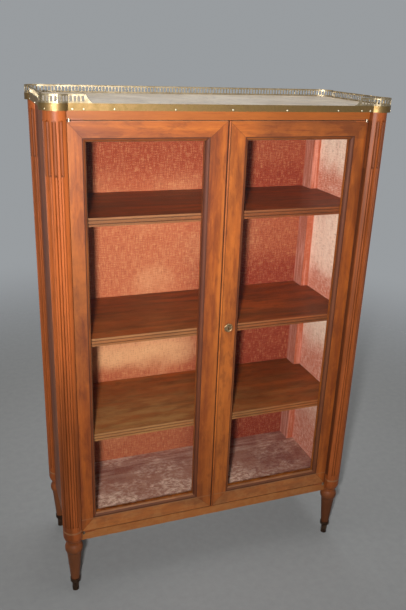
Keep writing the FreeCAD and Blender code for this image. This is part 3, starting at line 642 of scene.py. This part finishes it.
def new_piece(name, mesh, body, material, smooth):
    """Links a finished mesh, smooth up to an angle, and lets it ride on a body."""
    mesh.materials.clear()
    mesh.materials.append(material)
    mesh.polygons.foreach_set("use_smooth", [True] * len(mesh.polygons))
    mesh.set_sharp_from_angle(angle=math.radians(smooth))
    piece = linked(name, mesh)
    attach(piece, body)
    return piece


def form_mesh(form, name):
    """A bmesh as a mesh. The bmesh goes."""
    mesh = bpy.data.meshes.new(name)
    form.to_mesh(mesh)
    form.free()
    return mesh


def applied_mesh(source, name):
    """What an object's modifiers make of it, as a plain mesh. The object and its data go."""
    bpy.context.view_layer.update()
    graph = bpy.context.evaluated_depsgraph_get()
    mesh = bpy.data.meshes.new_from_object(source.evaluated_get(graph))
    bpy.data.batch_remove([source, source.data])
    mesh.name = name
    return mesh


def node_group(name, values):
    """A Geometry Nodes tree with named inputs. Returns the tree and a socket for each input."""
    tree = bpy.data.node_groups.new(name, "GeometryNodeTree")
    tree.interface.new_socket("Geometry", in_out="INPUT", socket_type="NodeSocketGeometry")
    for label, value in values.items():
        kind = "NodeSocketMaterial" if isinstance(value, bpy.types.Material) else "NodeSocketFloat"
        tree.interface.new_socket(label, in_out="INPUT", socket_type=kind)
    tree.interface.new_socket("Geometry", in_out="OUTPUT", socket_type="NodeSocketGeometry")
    start = tree.nodes.new("NodeGroupInput")
    return tree, {item.name: Socket(tree, item) for item in start.outputs if item.name}


def end_group(geometry, material):
    real = geometry.node("GeometryNodeRealizeInstances", {"Geometry": geometry})
    painted = geometry.node("GeometryNodeSetMaterial", {"Geometry": real, "Material": material})
    geometry.node("NodeGroupOutput", {"Geometry": painted})


def grown_mesh(name, source, tree, values):
    """What a tree makes of an object's curve or points, as a plain mesh."""
    modifier = source.modifiers.new(name, "NODES")
    modifier.node_group = tree
    for item in tree.interface.items_tree:
        if item.in_out == "INPUT" and item.name in values:
            modifier[item.identifier] = values[item.name]
    mesh = applied_mesh(source, name)
    if not mesh.polygons:
        raise RuntimeError(f"{name}: its nodes made no faces")
    return mesh


def curve_object(name, points):
    line = bpy.data.curves.new(name, "CURVE")
    line.dimensions = "3D"
    spline = line.splines.new("POLY")
    spline.points.add(len(points) - 1)
    for point, place in zip(spline.points, points):
        point.co = (*place, 1.0)
    return linked(name, line)


def point_object(name, places):
    mesh = bpy.data.meshes.new(name)
    mesh.from_pydata(places, [], [])
    return linked(name, mesh)


def divided(start, finish, spacing):
    """Numbers from start to finish, at most spacing apart."""
    count = max(1, math.ceil(abs(finish - start) / spacing))
    return [start + (finish - start) * step / count for step in range(count + 1)]


def divided_run(spacing, *stops):
    """Numbers from the first stop to the last by way of the others, at most spacing apart."""
    runs = [divided(start, finish, spacing)[:-1] for start, finish in zip(stops, stops[1:])]
    return sum(runs, []) + [stops[-1]]


def ripple(u, v):
    """A slow uneven wave, from -1 to 1."""
    waves = ((31 * u + 9 * v, 0.7), (17 * v - 23 * u, 2.1), (47 * v + 13 * u, 4.0))
    return sum(math.sin(angle + start) for angle, start in waves) / len(waves)


def sheet_mesh(name, columns, rows, place, cloth, skip):
    """A cloth sheet over a grid. place(u, v, out) gives the point that is out from the wall there."""
    grid = bmesh.new()
    layer = grid.loops.layers.uv.new("cloth")
    verts = {}
    for i, u in enumerate(columns):
        for j, v in enumerate(rows):
            free = min(i, j, len(columns) - 1 - i, len(rows) - 1 - j) > 0
            out = LINING / 2 + cloth.ripple * (ripple(u, v) if free else 0.0)
            verts[i, j] = grid.verts.new(place(u, v, out))
    for i in range(len(columns) - 1):
        for j in range(len(rows) - 1):
            if skip and skip((columns[i] + columns[i + 1]) / 2, (rows[j] + rows[j + 1]) / 2):
                continue
            ring = [(i, j), (i + 1, j), (i + 1, j + 1), (i, j + 1)]
            face = grid.faces.new([verts[key] for key in ring])
            for loop, (a, b) in zip(face.loops, ring):
                loop[layer].uv = (columns[a], rows[b])
    for vert in [vert for vert in grid.verts if not vert.link_faces]:
        grid.verts.remove(vert)
    holder = linked(name, form_mesh(grid, name))
    wall = holder.modifiers.new("Thickness", "SOLIDIFY")
    wall.thickness = cloth.thickness
    wall.offset = 0.0
    return applied_mesh(holder, name)


def lathe(name, profile, segments, centre, axis_turn):
    """A ring turned from the (radius, height) points of its closed outline."""
    form = bmesh.new()
    turns = [2 * math.pi * step / segments for step in range(segments)]
    rings = [[form.verts.new((radius * math.cos(turn), radius * math.sin(turn), height)) for turn in turns]
             for radius, height in profile]
    for row, nearer in enumerate(rings):
        further = rings[(row + 1) % len(rings)]
        for step in range(segments):
            after = (step + 1) % segments
            form.faces.new([nearer[step], nearer[after], further[after], further[step]])
    bmesh.ops.recalc_face_normals(form, faces=form.faces)
    form.transform(Matrix.Translation(centre) @ axis_turn)
    return form_mesh(form, name)


# Operators
class BOOKCASE_OT_woodwork(bpy.types.Operator):
    """Polishes the posts, case, doors and shelves"""
    bl_idname = "bookcase.woodwork"
    bl_label = "Woodwork"

    def execute(self, context):
        wood = context.scene.bookcase_wood
        grain_x, grain_z = 0, 2
        tones = (wood.light, wood.middle, wood.dark, wood.grain)
        upright = polished_wood("mahogany_upright", grain_z, *tones, cloudy=0.8, rough=0.42, shine=0.32)
        across = polished_wood("mahogany_across", grain_x, scaled(wood.light, 0.84), scaled(wood.light, 0.76),
                               wood.middle, wood.grain, rough=0.40, shine=0.34, dusty=dusty_foot)
        framed = {"cloudy": 0.8, "rough": 0.40, "shine": 0.33, "lightened": painted_arris_highlights, "dirt_and_shade": door_dirt_and_shade}
        stile = polished_wood("mahogany_stile", grain_z, *tones, **framed)
        rail = polished_wood("mahogany_rail", grain_x, *tones, **framed, dusty=dusty_foot)
        column = polished_wood("column_mahogany", grain_z, scaled(wood.column, 1.3), wood.column,
                               scaled(wood.column, 0.55), wood.grain, cloudy=0.4, rough=0.36, shine=0.20,
                               streaky=0.15, lightened=painted_base_highlights, dirt_and_shade=painted_flute_and_foot_shade)
        shelf = polished_wood("shelf_mahogany", grain_x, scaled(wood.shelf, 1.6), wood.shelf,
                              scaled(wood.shelf, 0.6), wood.grain, cloudy=1.0, shine=0.13,
                              lightened=worn_and_lit_shelf_edge, dusty=shelf_dust_and_sheen, dirt_and_shade=painted_quirk_shade)
        doors = [f"{side}_door" for side in SIDES]
        dress(upright, "left_side_panel", "right_side_panel", "back_panel", "meeting_bead",
              *[f"{door}_glazing_beads" for door in doors])
        dress(across, "bottom_rail", "top_rail", "bottom_board", "top_board")
        dress(stile, *[f"{door}_{part}_stile" for door in doors for part in ("outer", "meeting")])
        dress(rail, *[f"{door}_{part}_rail" for door in doors for part in ("top", "bottom")])
        dress(column, *[f"{end}_{side}_post" for end in ("front", "rear") for side in SIDES])
        dress(shelf, "upper_shelf", "middle_shelf", "lower_shelf", "shelf_cleats")
        return {"FINISHED"}


class BOOKCASE_OT_metal_stone_glass(bpy.types.Operator):
    """Finishes the brass, the steel, the marble and the panes"""
    bl_idname = "bookcase.metal_stone_glass"
    bl_label = "Metal, stone and glass"

    def execute(self, context):
        gallery = context.scene.bookcase_gallery
        dress(worn_brass("band_brass", gallery.band, gallery.tarnish, 0.95, 0.42, 0.55),
              "front_band", "left_band", "right_band")
        dress(worn_brass("fitting_brass", FITTING, scaled(gallery.tarnish, 0.6), 0.95, patch=190),
              "escutcheon", "flush_bolt_plates")
        dress(worn_brass("pivot_brass", PIVOT, PIVOT_DULL, 0.7, 0.36, let_in=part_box("top_rail")[0].y),
              "case_pivots", "left_door_pivots", "right_door_pivots")
        dress(worn_brass("dark_metal", FERRULE, FERRULE_DULL, 0.95, 0.32, 0.55), "ferrules")
        dress(surface("lock_steel", brushed_steel, Metallic=1.0),
              "lock_case", "lock_bolt", "top_flush_bolt", "bottom_flush_bolt")
        dress(surface("pale_marble", veined_stone, Specular_IOR_Level=0.25), "marble_top")
        dress(clear_glass("old_glass"), "left_door_glass", "right_door_glass")
        return {"FINISHED"}


class BOOKCASE_OT_lining(bpy.types.Operator):
    """Stretches the cloth over the back, the walls, the rear posts and the floor"""
    bl_idname = "bookcase.lining"
    bl_label = "Cloth lining"

    def stretch(self, name, node, rests_on, columns, rows, place, material, cloth, turned=False, skip=None,
                **cut):
        """Hangs one sheet. turned swaps its sides, skip(u, v) leaves out parts of its grid."""
        mesh = sheet_mesh(name, columns, rows, place, cloth, skip)
        if turned:
            mesh.flip_normals()
        piece = new_piece(name, mesh, "case", material, 40)
        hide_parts(node)
        columns[-1] - columns[0]
        rows[-1] - rows[0]

    def cover_back(self, material, cloth):
        low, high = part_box("back_lining")
        self.stretch("back_cloth", "back_lining", "back_panel", divided(low.x, high.x, cloth.spacing),
                     divided(low.z, high.z, cloth.spacing), lambda u, v, out: (u, high.y - out, v), material,
                     cloth)

    def cover_wall(self, side, way, material, cloth):
        low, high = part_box(f"{side}_wall_lining")
        wall_x = way * max(abs(low.x), abs(high.x))
        self.stretch(f"{side}_wall_cloth", f"{side}_wall_lining", f"{side}_side_panel",
                     divided(low.y, high.y, cloth.spacing), divided(low.z, high.z, cloth.spacing),
                     lambda u, v, out: (wall_x - way * out, -way * u, v), material, cloth)

    def cover_post(self, side, way, material, cloth):
        """One strip that turns the rear post's corner."""
        low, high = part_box("rear_post_linings")
        inner_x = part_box("back_lining")[1].x
        corner, face_y = high.x - inner_x, low.y + LINING

        def place(u, v, out):
            if u > corner:
                return (way * (inner_x - out), face_y - LINING / 2 + u - corner, v)
            near = out if u > 0 else LINING / 2
            return (way * max(high.x - u, inner_x - (out if u == corner else 0)), face_y - near, v)
        columns = divided_run(cloth.spacing, 0, corner, corner + high.y - low.y)
        self.stretch(f"{side}_rear_post_cloth", "rear_post_linings", f"rear_{side}_post", columns,
                     divided(low.z, high.z, cloth.spacing), place, material, cloth, turned=way > 0)

    def cover_floor(self, material, cloth):
        """The floor's sheet, cut out round the four posts."""
        low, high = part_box("floor_lining")
        notch_x, notch_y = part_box("back_lining")[1].x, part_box("left_wall_lining")[1].y
        cut_out = 2 * (high.x - notch_x) * (-notch_y - low.y + high.y - notch_y)
        self.stretch("floor_cloth", "floor_lining", "bottom_board",
                     divided_run(cloth.spacing, low.x, -notch_x, notch_x, high.x),
                     divided_run(cloth.spacing, low.y, -notch_y, notch_y, high.y),
                     lambda u, v, out: (u, v, low.z + out), material, cloth,
                     skip=lambda u, v: abs(u) > notch_x and abs(v) > notch_y,
                     area=(high.x - low.x) * (high.y - low.y) - cut_out)

    def execute(self, context):
        cloth = context.scene.bookcase_cloth
        back = coarse_cloth("back_cloth", cloth.thread, cloth.red, cloth.back_faded, paler_low_down,
                            deep=painted_back_shade)
        # The walls' red is the cloth's red made half as bright again: painted light on the walls
        wall = coarse_cloth("wall_cloth", cloth.thread, scaled(cloth.red, 1.5), cloth.faded,
                            red_above_shelves, contrast=1.2, thread_highlight=WALL_THREAD_HIGHLIGHT)
        post = coarse_cloth("post_cloth", cloth.thread, cloth.red, cloth.post_faded, streaked, contrast=0.4,
                            thread_highlight=POST_THREAD_HIGHLIGHT)
        floor = coarse_cloth("floor_cloth", cloth.thread, cloth.floor, cloth.dusty, scuffed, contrast=0.4,
                             deep=dark_behind)
        self.cover_back(back, cloth)
        for side, way in SIDES.items():
            self.cover_wall(side, way, wall, cloth)
            self.cover_post(side, way, post, cloth)
        self.cover_floor(floor, cloth)
        return {"FINISHED"}


def edge_path(way, radius, overhang, return_x, arc_step=3.0):
    """Points along one side of the top, seen from above: front return, front boss, side, rear boss."""
    turn = math.degrees(math.atan2(overhang, math.sqrt(radius * radius - overhang * overhang)))
    points = [(-return_x, -POST_Y - overhang)]
    for centre_y, start, stop in ((-POST_Y, -turn, turn - 270), (POST_Y, 270 - turn, 90)):
        for angle in map(math.radians, divided(start, stop, arc_step)):
            points.append((radius * math.cos(angle) - POST_X, radius * math.sin(angle) + centre_y))
    return [(x * -way, y) for x, y in points]


def path_length(points):
    return sum((Vector(b) - Vector(a)).length for a, b in zip(points, points[1:]))


def set_along(make, path, count, instance):
    """Copies of an instance at even steps along a path, turned to follow it."""
    spots = make("GeometryNodeResampleCurve", {"Curve": path, "Count": count}, mode="COUNT")
    along = make("FunctionNodeAlignRotationToVector", {"Vector": make("GeometryNodeInputTangent")}, axis="X",
                 pivot_axis="Z")
    return make("GeometryNodeInstanceOnPoints", {"Points": spots, "Instance": instance, "Rotation": along})


class BOOKCASE_OT_gallery(bpy.types.Operator):
    """Makes the pierced gallery: round-headed openings in a thin sheet between beads"""
    bl_idname = "bookcase.gallery"
    bl_label = "Gallery"

    def bay(self, make, given):
        """One upright bay of the sheet with its round-headed opening."""
        height, opening = given["Height"], given["Opening"]
        plate, hole = (make("GeometryNodeCurvePrimitiveQuadrilateral", {"Width": width, "Height": tall},
                            mode="RECTANGLE")
                       for width, tall in ((given["Pitch"], height), (opening, height - given["Rail"] * 2)))
        upper = make("FunctionNodeCompare", {2: make("GeometryNodeInputIndex"), 3: 2}, data_type="INT",
                     operation="LESS_THAN")
        hole = make("GeometryNodeFilletCurve", {
            "Curve": hole, "Count": 5, "Radius": opening * 0.499 * upper, "Limit Radius": True}, mode="POLY")
        front = make("GeometryNodeFillCurve", {"Curve": plate.joined(hole)}, mode="TRIANGLES")
        solid = make("GeometryNodeExtrudeMesh", {
            "Mesh": front, "Offset Scale": given["Sheet"], "Individual": False}, mode="FACES")
        closed = solid.joined(make("GeometryNodeFlipFaces", {"Mesh": front}))
        closed = make("GeometryNodeMergeByDistance", {"Geometry": closed, "Distance": 1e-6})
        upright = make("GeometryNodeTransform", {
            "Geometry": closed.lifted(given["Sheet"] * -0.5), "Rotation": (math.pi / 2, 0, 0)})
        return upright.lifted(height * 0.5)

    def arcade(self, values):
        """The tree that sets bays along a path, with beads at the foot, above the lower rail and on top."""
        tree, given = node_group("arcade", values)
        path, half_bay = given["Geometry"], given["Pitch"] * 0.5
        make = path.node
        length = make("GeometryNodeCurveLength", {"Curve": path})
        inner = make("GeometryNodeTrimCurve", {"Curve": path, 4: half_bay, 5: length - half_bay},
                     mode="LENGTH")
        bays = set_along(make, inner, given["Count"], self.bay(make, given))
        ring = make("GeometryNodeCurvePrimitiveCircle", {"Resolution": 8, "Radius": given["Bead"]},
                    mode="RADIUS")
        bead = make("GeometryNodeCurveToMesh", {"Curve": path, "Profile Curve": ring, "Fill Caps": True})
        levels = (given["Bead"], given["Height"] - given["Bead"], given["Rail"] * 0.8)
        end_group(bays.joined(*[bead.lifted(level) for level in levels]), given["Material"])
        return tree

    def end_plate(self, mesh, x, way, y, gallery, steps=8, lip=0.0008):
        """Adds the sloping end of a front return, a concave sweep down to the marble."""
        form = bmesh.new()
        form.from_mesh(mesh)
        run = x - abs(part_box("gallery_left")[1].x)
        sweep = [(run * step / steps, gallery.height * (1 - math.sin(math.pi / 2 * step / steps)) + lip)
                 for step in range(steps + 1)]
        outline = [(0.0, 0.0), (run, 0.0)] + sweep[::-1]
        half = gallery.sheet / 2
        front, rear = ([form.verts.new((way * (x - dx), y + shift, TOP_Z + min(dz, gallery.height)))
                        for dx, dz in outline] for shift in (-half, half))
        faces = [form.faces.new(front), form.faces.new(rear[::-1])]
        for step in range(len(outline)):
            after = (step + 1) % len(outline)
            faces.append(form.faces.new([front[step], rear[step], rear[after], front[after]]))
        bmesh.ops.recalc_face_normals(form, faces=faces)
        form.to_mesh(mesh)
        form.free()

    def execute(self, context):
        gallery = context.scene.bookcase_gallery
        brass = worn_brass("gallery_brass", gallery.brass, gallery.dull, 0.75, 0.36, 0.58)
        inset, plate_run = 0.0006, 0.018
        out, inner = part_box("gallery_left")
        radius = -out.x - POST_X - gallery.bead - inset
        overhang = -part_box("front_band")[0].y - POST_Y - (out.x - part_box("left_band")[0].x) - gallery.bead
        return_x, back_y = abs(inner.x) + plate_run, POST_Y + radius
        paths = {side: edge_path(way, radius, overhang, return_x) for side, way in SIDES.items()}
        paths["back"] = [(-POST_X, back_y), (POST_X, back_y)]
        tree = None
        for side, points in paths.items():
            name = f"gallery_{side}"
            length = path_length(points)
            count = round(length / gallery.pitch)
            values = {"Pitch": length / count, "Count": count, "Height": gallery.height, "Material": brass,
                      "Opening": gallery.opening, "Rail": gallery.rail, "Sheet": gallery.sheet,
                      "Bead": gallery.bead}
            tree = tree or self.arcade(values)
            source = curve_object(f"{name}_path", [(x, y, TOP_Z) for x, y in points])
            mesh = grown_mesh(f"{name}_arcade", source, tree, values)
            if side in SIDES:
                self.end_plate(mesh, return_x, SIDES[side], points[0][1], gallery)
            piece = new_piece(f"{name}_arcade", mesh, "case", brass, 35)
            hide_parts(name)
        return {"FINISHED"}


def stud_tree(name, values, squeeze):
    """A tree with a rounded head in it, squeezed along its axes."""
    tree, given = node_group(name, values)
    make = given["Geometry"].node
    ball = make("GeometryNodeMeshUVSphere", {"Segments": 12, "Rings": 8, "Radius": given["Radius"]})
    return tree, given, make("GeometryNodeTransform", {"Geometry": ball, "Scale": squeeze})


class BOOKCASE_OT_nails(bpy.types.Operator):
    """Sets round-headed nails along the brass band"""
    bl_idname = "bookcase.nails"
    bl_label = "Band nails"

    def nail_runs(self):
        """The lines that the nails follow, seen from above. A boss has one nail, on a very short line."""
        end_gap, side_gap, boss_r, dot = 0.05, 0.030, 0.0365, 0.0001
        low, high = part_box("front_band")
        edge = POST_X + (-low.y - POST_Y)
        boss = boss_r * math.sqrt(0.5)
        runs = {"front": [(low.x + end_gap, low.y), (high.x - end_gap, low.y)]}
        for side, way in SIDES.items():
            spot = way * (POST_X + boss)
            runs[side] = [(way * edge, side_gap - POST_Y), (way * edge, POST_Y - side_gap)]
            runs[f"{side}_boss"] = [(spot - dot, -POST_Y - boss), (spot + dot, -POST_Y - boss)]
            runs[f"{side}_return"] = [(way * (abs(low.x) + past), low.y) for past in (0.02, 0.045)]
        return runs

    def execute(self, context):
        gallery = context.scene.bookcase_gallery
        bright = worn_brass("nail_brass", NAIL, gallery.nail_dull, 0.25, 0.3, 0.4)
        values = {"Radius": gallery.nail, "Count": 6, "Material": bright}
        tree, given, head = stud_tree("band_nails", values, (1, 0.5, 1))
        end_group(set_along(head.node, given["Geometry"], given["Count"], head), given["Material"])
        low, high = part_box("front_band")
        level = low.z + (high.z - low.z) * 0.22
        joined = bmesh.new()
        for name, points in self.nail_runs().items():
            fewest = 1 if name.endswith("boss") else 2
            values["Count"] = max(fewest, round(path_length(points) / gallery.nail_spacing) + 1)
            source = curve_object(f"{name}_nail_line", [(x, y, level) for x, y in points])
            joined.from_mesh(grown_mesh(f"{name}_nails", source, tree, values))
        new_piece("band_nails", form_mesh(joined, "band_nails"), "case", bright, 60)
        return {"FINISHED"}


class BOOKCASE_OT_rod_tips(bpy.types.Operator):
    """Rounds the tops of the rods that stand in the flutes"""
    bl_idname = "bookcase.rod_tips"
    bl_label = "Rod tips"

    def execute(self, context):
        wood = bpy.data.materials["column_mahogany"]
        rod_r, from_axis, pitch = 0.0033, 0.0254, 30
        values = {"Radius": rod_r, "Material": wood}
        tree, given, head = stud_tree("rod_tips", values, (1, 1, 1.5))
        placed = head.node("GeometryNodeInstanceOnPoints", {"Points": given["Geometry"], "Instance": head})
        end_group(placed, given["Material"])
        places = []
        for way_y, first, count in ((-1, 135, 6), (1, 165, 3)):
            for way in SIDES.values():
                for angle in (math.radians(first + pitch * step) for step in range(count)):
                    places.append((way * (POST_X - from_axis * math.cos(angle)),
                                   way_y * POST_Y + from_axis * math.sin(angle), ROD_TOP))
        mesh = grown_mesh("rod_tips", point_object("rod_tip_places", places), tree, values)
        new_piece("rod_tips", mesh, "case", wood, 60)
        return {"FINISHED"}


class BOOKCASE_OT_escutcheon(bpy.types.Operator):
    """Adds the turned rim of the escutcheon"""
    bl_idname = "bookcase.escutcheon"
    bl_label = "Escutcheon rim"

    def execute(self, context):
        inset, half_width, height, sunk, steps = 0.0018, 0.0016, 0.0013, 0.0004, 9
        low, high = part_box("escutcheon")
        middle = (high.x - low.x) / 2 - inset
        centre = Vector(((low.x + high.x) / 2, low.y, (low.z + high.z) / 2))
        rim = [(middle + half_width * math.cos(angle), height * math.sin(angle))
               for angle in (math.pi * step / steps for step in range(steps + 1))]
        rim += [(middle - half_width, -sunk), (middle + half_width, -sunk)]
        mesh = lathe("escutcheon_rim", rim, 48, centre, Matrix.Rotation(math.pi / 2, 4, "X"))
        new_piece("escutcheon_rim", mesh, "right_door", bpy.data.materials["fitting_brass"], 50)
        return {"FINISHED"}


class BOOKCASE_OT_studio(bpy.types.Operator):
    """Sets the floor, the lamps, the background and the camera"""
    bl_idname = "bookcase.studio"
    bl_label = "Studio"

    # Name, place, aim, width in metres, power in watts, spread in degrees
    LAMPS = (
        ("key", (-0.755, -1.72, 1.47), (-0.02, 0, 1.10), 0.09, 19.5, 95),
        ("fill", (2.6, -2.6, 1.8), (0, 0, 0.7), 2.0, 5, 180),
        ("top", (0.2, 0.3, 3.4), (0, 0, 0.8), 2.0, 34, 180),
        ("rear", (0.8, 3.0, 3.2), (0, 0, 0.7), 1.2, 8, 180),
        ("window", (-3.2, -0.9, 2.0), (-0.4, 0, 1.40), 1.6, 1.0, 28),
    )

    def floor(self, studio, half=4, fade=(1.1, 3.2)):
        def pale_floor(place):
            """A plain floor that fades into the background away from the bookcase."""
            far = place.node("ShaderNodeVectorMath", {0: place}, "Value", operation="LENGTH")
            colour = place.noise(40, 3, 0.6).ramp((0.3, scaled(studio.floor, 0.96)),
                                                  (0.7, scaled(studio.floor, 1.04)))
            return {"Base Color": colour, "Alpha": far.fall(*fade)}
        mesh = bpy.data.meshes.new("studio_floor")
        corners = [(-half, -half, 0), (half, -half, 0), (half, half, 0), (-half, half, 0)]
        mesh.from_pydata(corners, [], [(0, 1, 2, 3)])
        mesh.materials.append(surface("studio_floor", pale_floor, Roughness=0.75, Specular_IOR_Level=0.2))
        linked("studio_floor", mesh)

    def lamp(self, name, place, aim, width, power, spread):
        data = bpy.data.lights.new(name, "AREA")
        data.shape = "RECTANGLE"
        data.size = data.size_y = width
        data.energy = power
        data.spread = math.radians(spread)
        lamp = linked(name, data)
        lamp.location = place
        lamp.rotation_euler = (Vector(aim) - Vector(place)).to_track_quat("-Z", "Y").to_euler()

    def background(self, studio):
        world = bpy.data.worlds.new("studio")
        tree = empty_tree(world)
        seen = strongest(tree.node("ShaderNodeLightPath", output=f"Is {ray} Ray")
                         for ray in ("Camera", "Glossy", "Transmission"))
        light = tree.node("ShaderNodeBackground", {"Color": opaque(DAYLIGHT), "Strength": 0.17})
        shown = tree.node("ShaderNodeBackground", {"Color": opaque(studio.backdrop), "Strength": 1.0})
        both = tree.node("ShaderNodeMixShader", {0: seen, 1: light, 2: shown})
        tree.node("ShaderNodeOutputWorld", {"Surface": both})
        bpy.context.scene.world = world

    def camera(self, studio):
        """The photo's view: the camera's own right, down and ahead, and its place."""
        right = Vector((0.9402, -0.3389, 0.0357))
        down = Vector((-0.0913, -0.3515, -0.9317))
        ahead = Vector((0.3283, 0.8727, -0.3615))
        place = (-0.630, -1.6936, 1.5111)
        data = bpy.data.cameras.new("photo_view")
        data.sensor_fit = "VERTICAL"
        data.sensor_height = 24
        data.lens = studio.lens
        camera = linked("photo_view", data)
        turn = Matrix((right, -down, -ahead)).transposed().to_4x4()
        camera.matrix_world = Matrix.Translation(place) @ turn
        bpy.context.scene.camera = camera

    def execute(self, context):
        studio = context.scene.bookcase_studio
        self.floor(studio)
        for name, place, aim, width, power, spread in self.LAMPS:
            self.lamp(name, place, aim, width, power * studio.lamps, spread)
        self.background(studio)
        self.camera(studio)
        context.scene.view_settings.view_transform = "Standard"
        return {"FINISHED"}


class BOOKCASE_PT_sidebar(bpy.types.Panel):
    """Lists the settings and steps"""
    bl_idname = "BOOKCASE_PT_sidebar"
    bl_label = "Glazed bookcase"
    bl_space_type = "VIEW_3D"
    bl_region_type = "UI"
    bl_category = "Bookcase"

    def draw(self, context):
        for name in GROUPS:
            group = getattr(context.scene, name)
            box = self.layout.box()
            box.label(text=name.split("_")[1].capitalize())
            for item in group.__annotations__:
                box.prop(group, item)
        for step in STEPS:
            self.layout.operator(step.bl_idname)


GROUPS = {"bookcase_cloth": BookcaseCloth, "bookcase_gallery": BookcaseGallery, "bookcase_wood": BookcaseWood,
          "bookcase_studio": BookcaseStudio}
STEPS = (BOOKCASE_OT_woodwork, BOOKCASE_OT_metal_stone_glass, BOOKCASE_OT_lining, BOOKCASE_OT_gallery,
         BOOKCASE_OT_nails, BOOKCASE_OT_rod_tips, BOOKCASE_OT_escutcheon, BOOKCASE_OT_studio)


def register():
    for item in (*GROUPS.values(), *STEPS, BOOKCASE_PT_sidebar):
        bpy.utils.register_class(item)
    for name, item in GROUPS.items():
        setattr(bpy.types.Scene, name, PointerProperty(type=item))


def unregister():
    for name in GROUPS:
        delattr(bpy.types.Scene, name)
    for item in (BOOKCASE_PT_sidebar, *STEPS[::-1], *GROUPS.values()):
        bpy.utils.unregister_class(item)


def main():
    register()
    for step in STEPS:
        group, call = step.bl_idname.split(".")
        getattr(getattr(bpy.ops, group), call)()


if __name__ == "__main__":
    main()
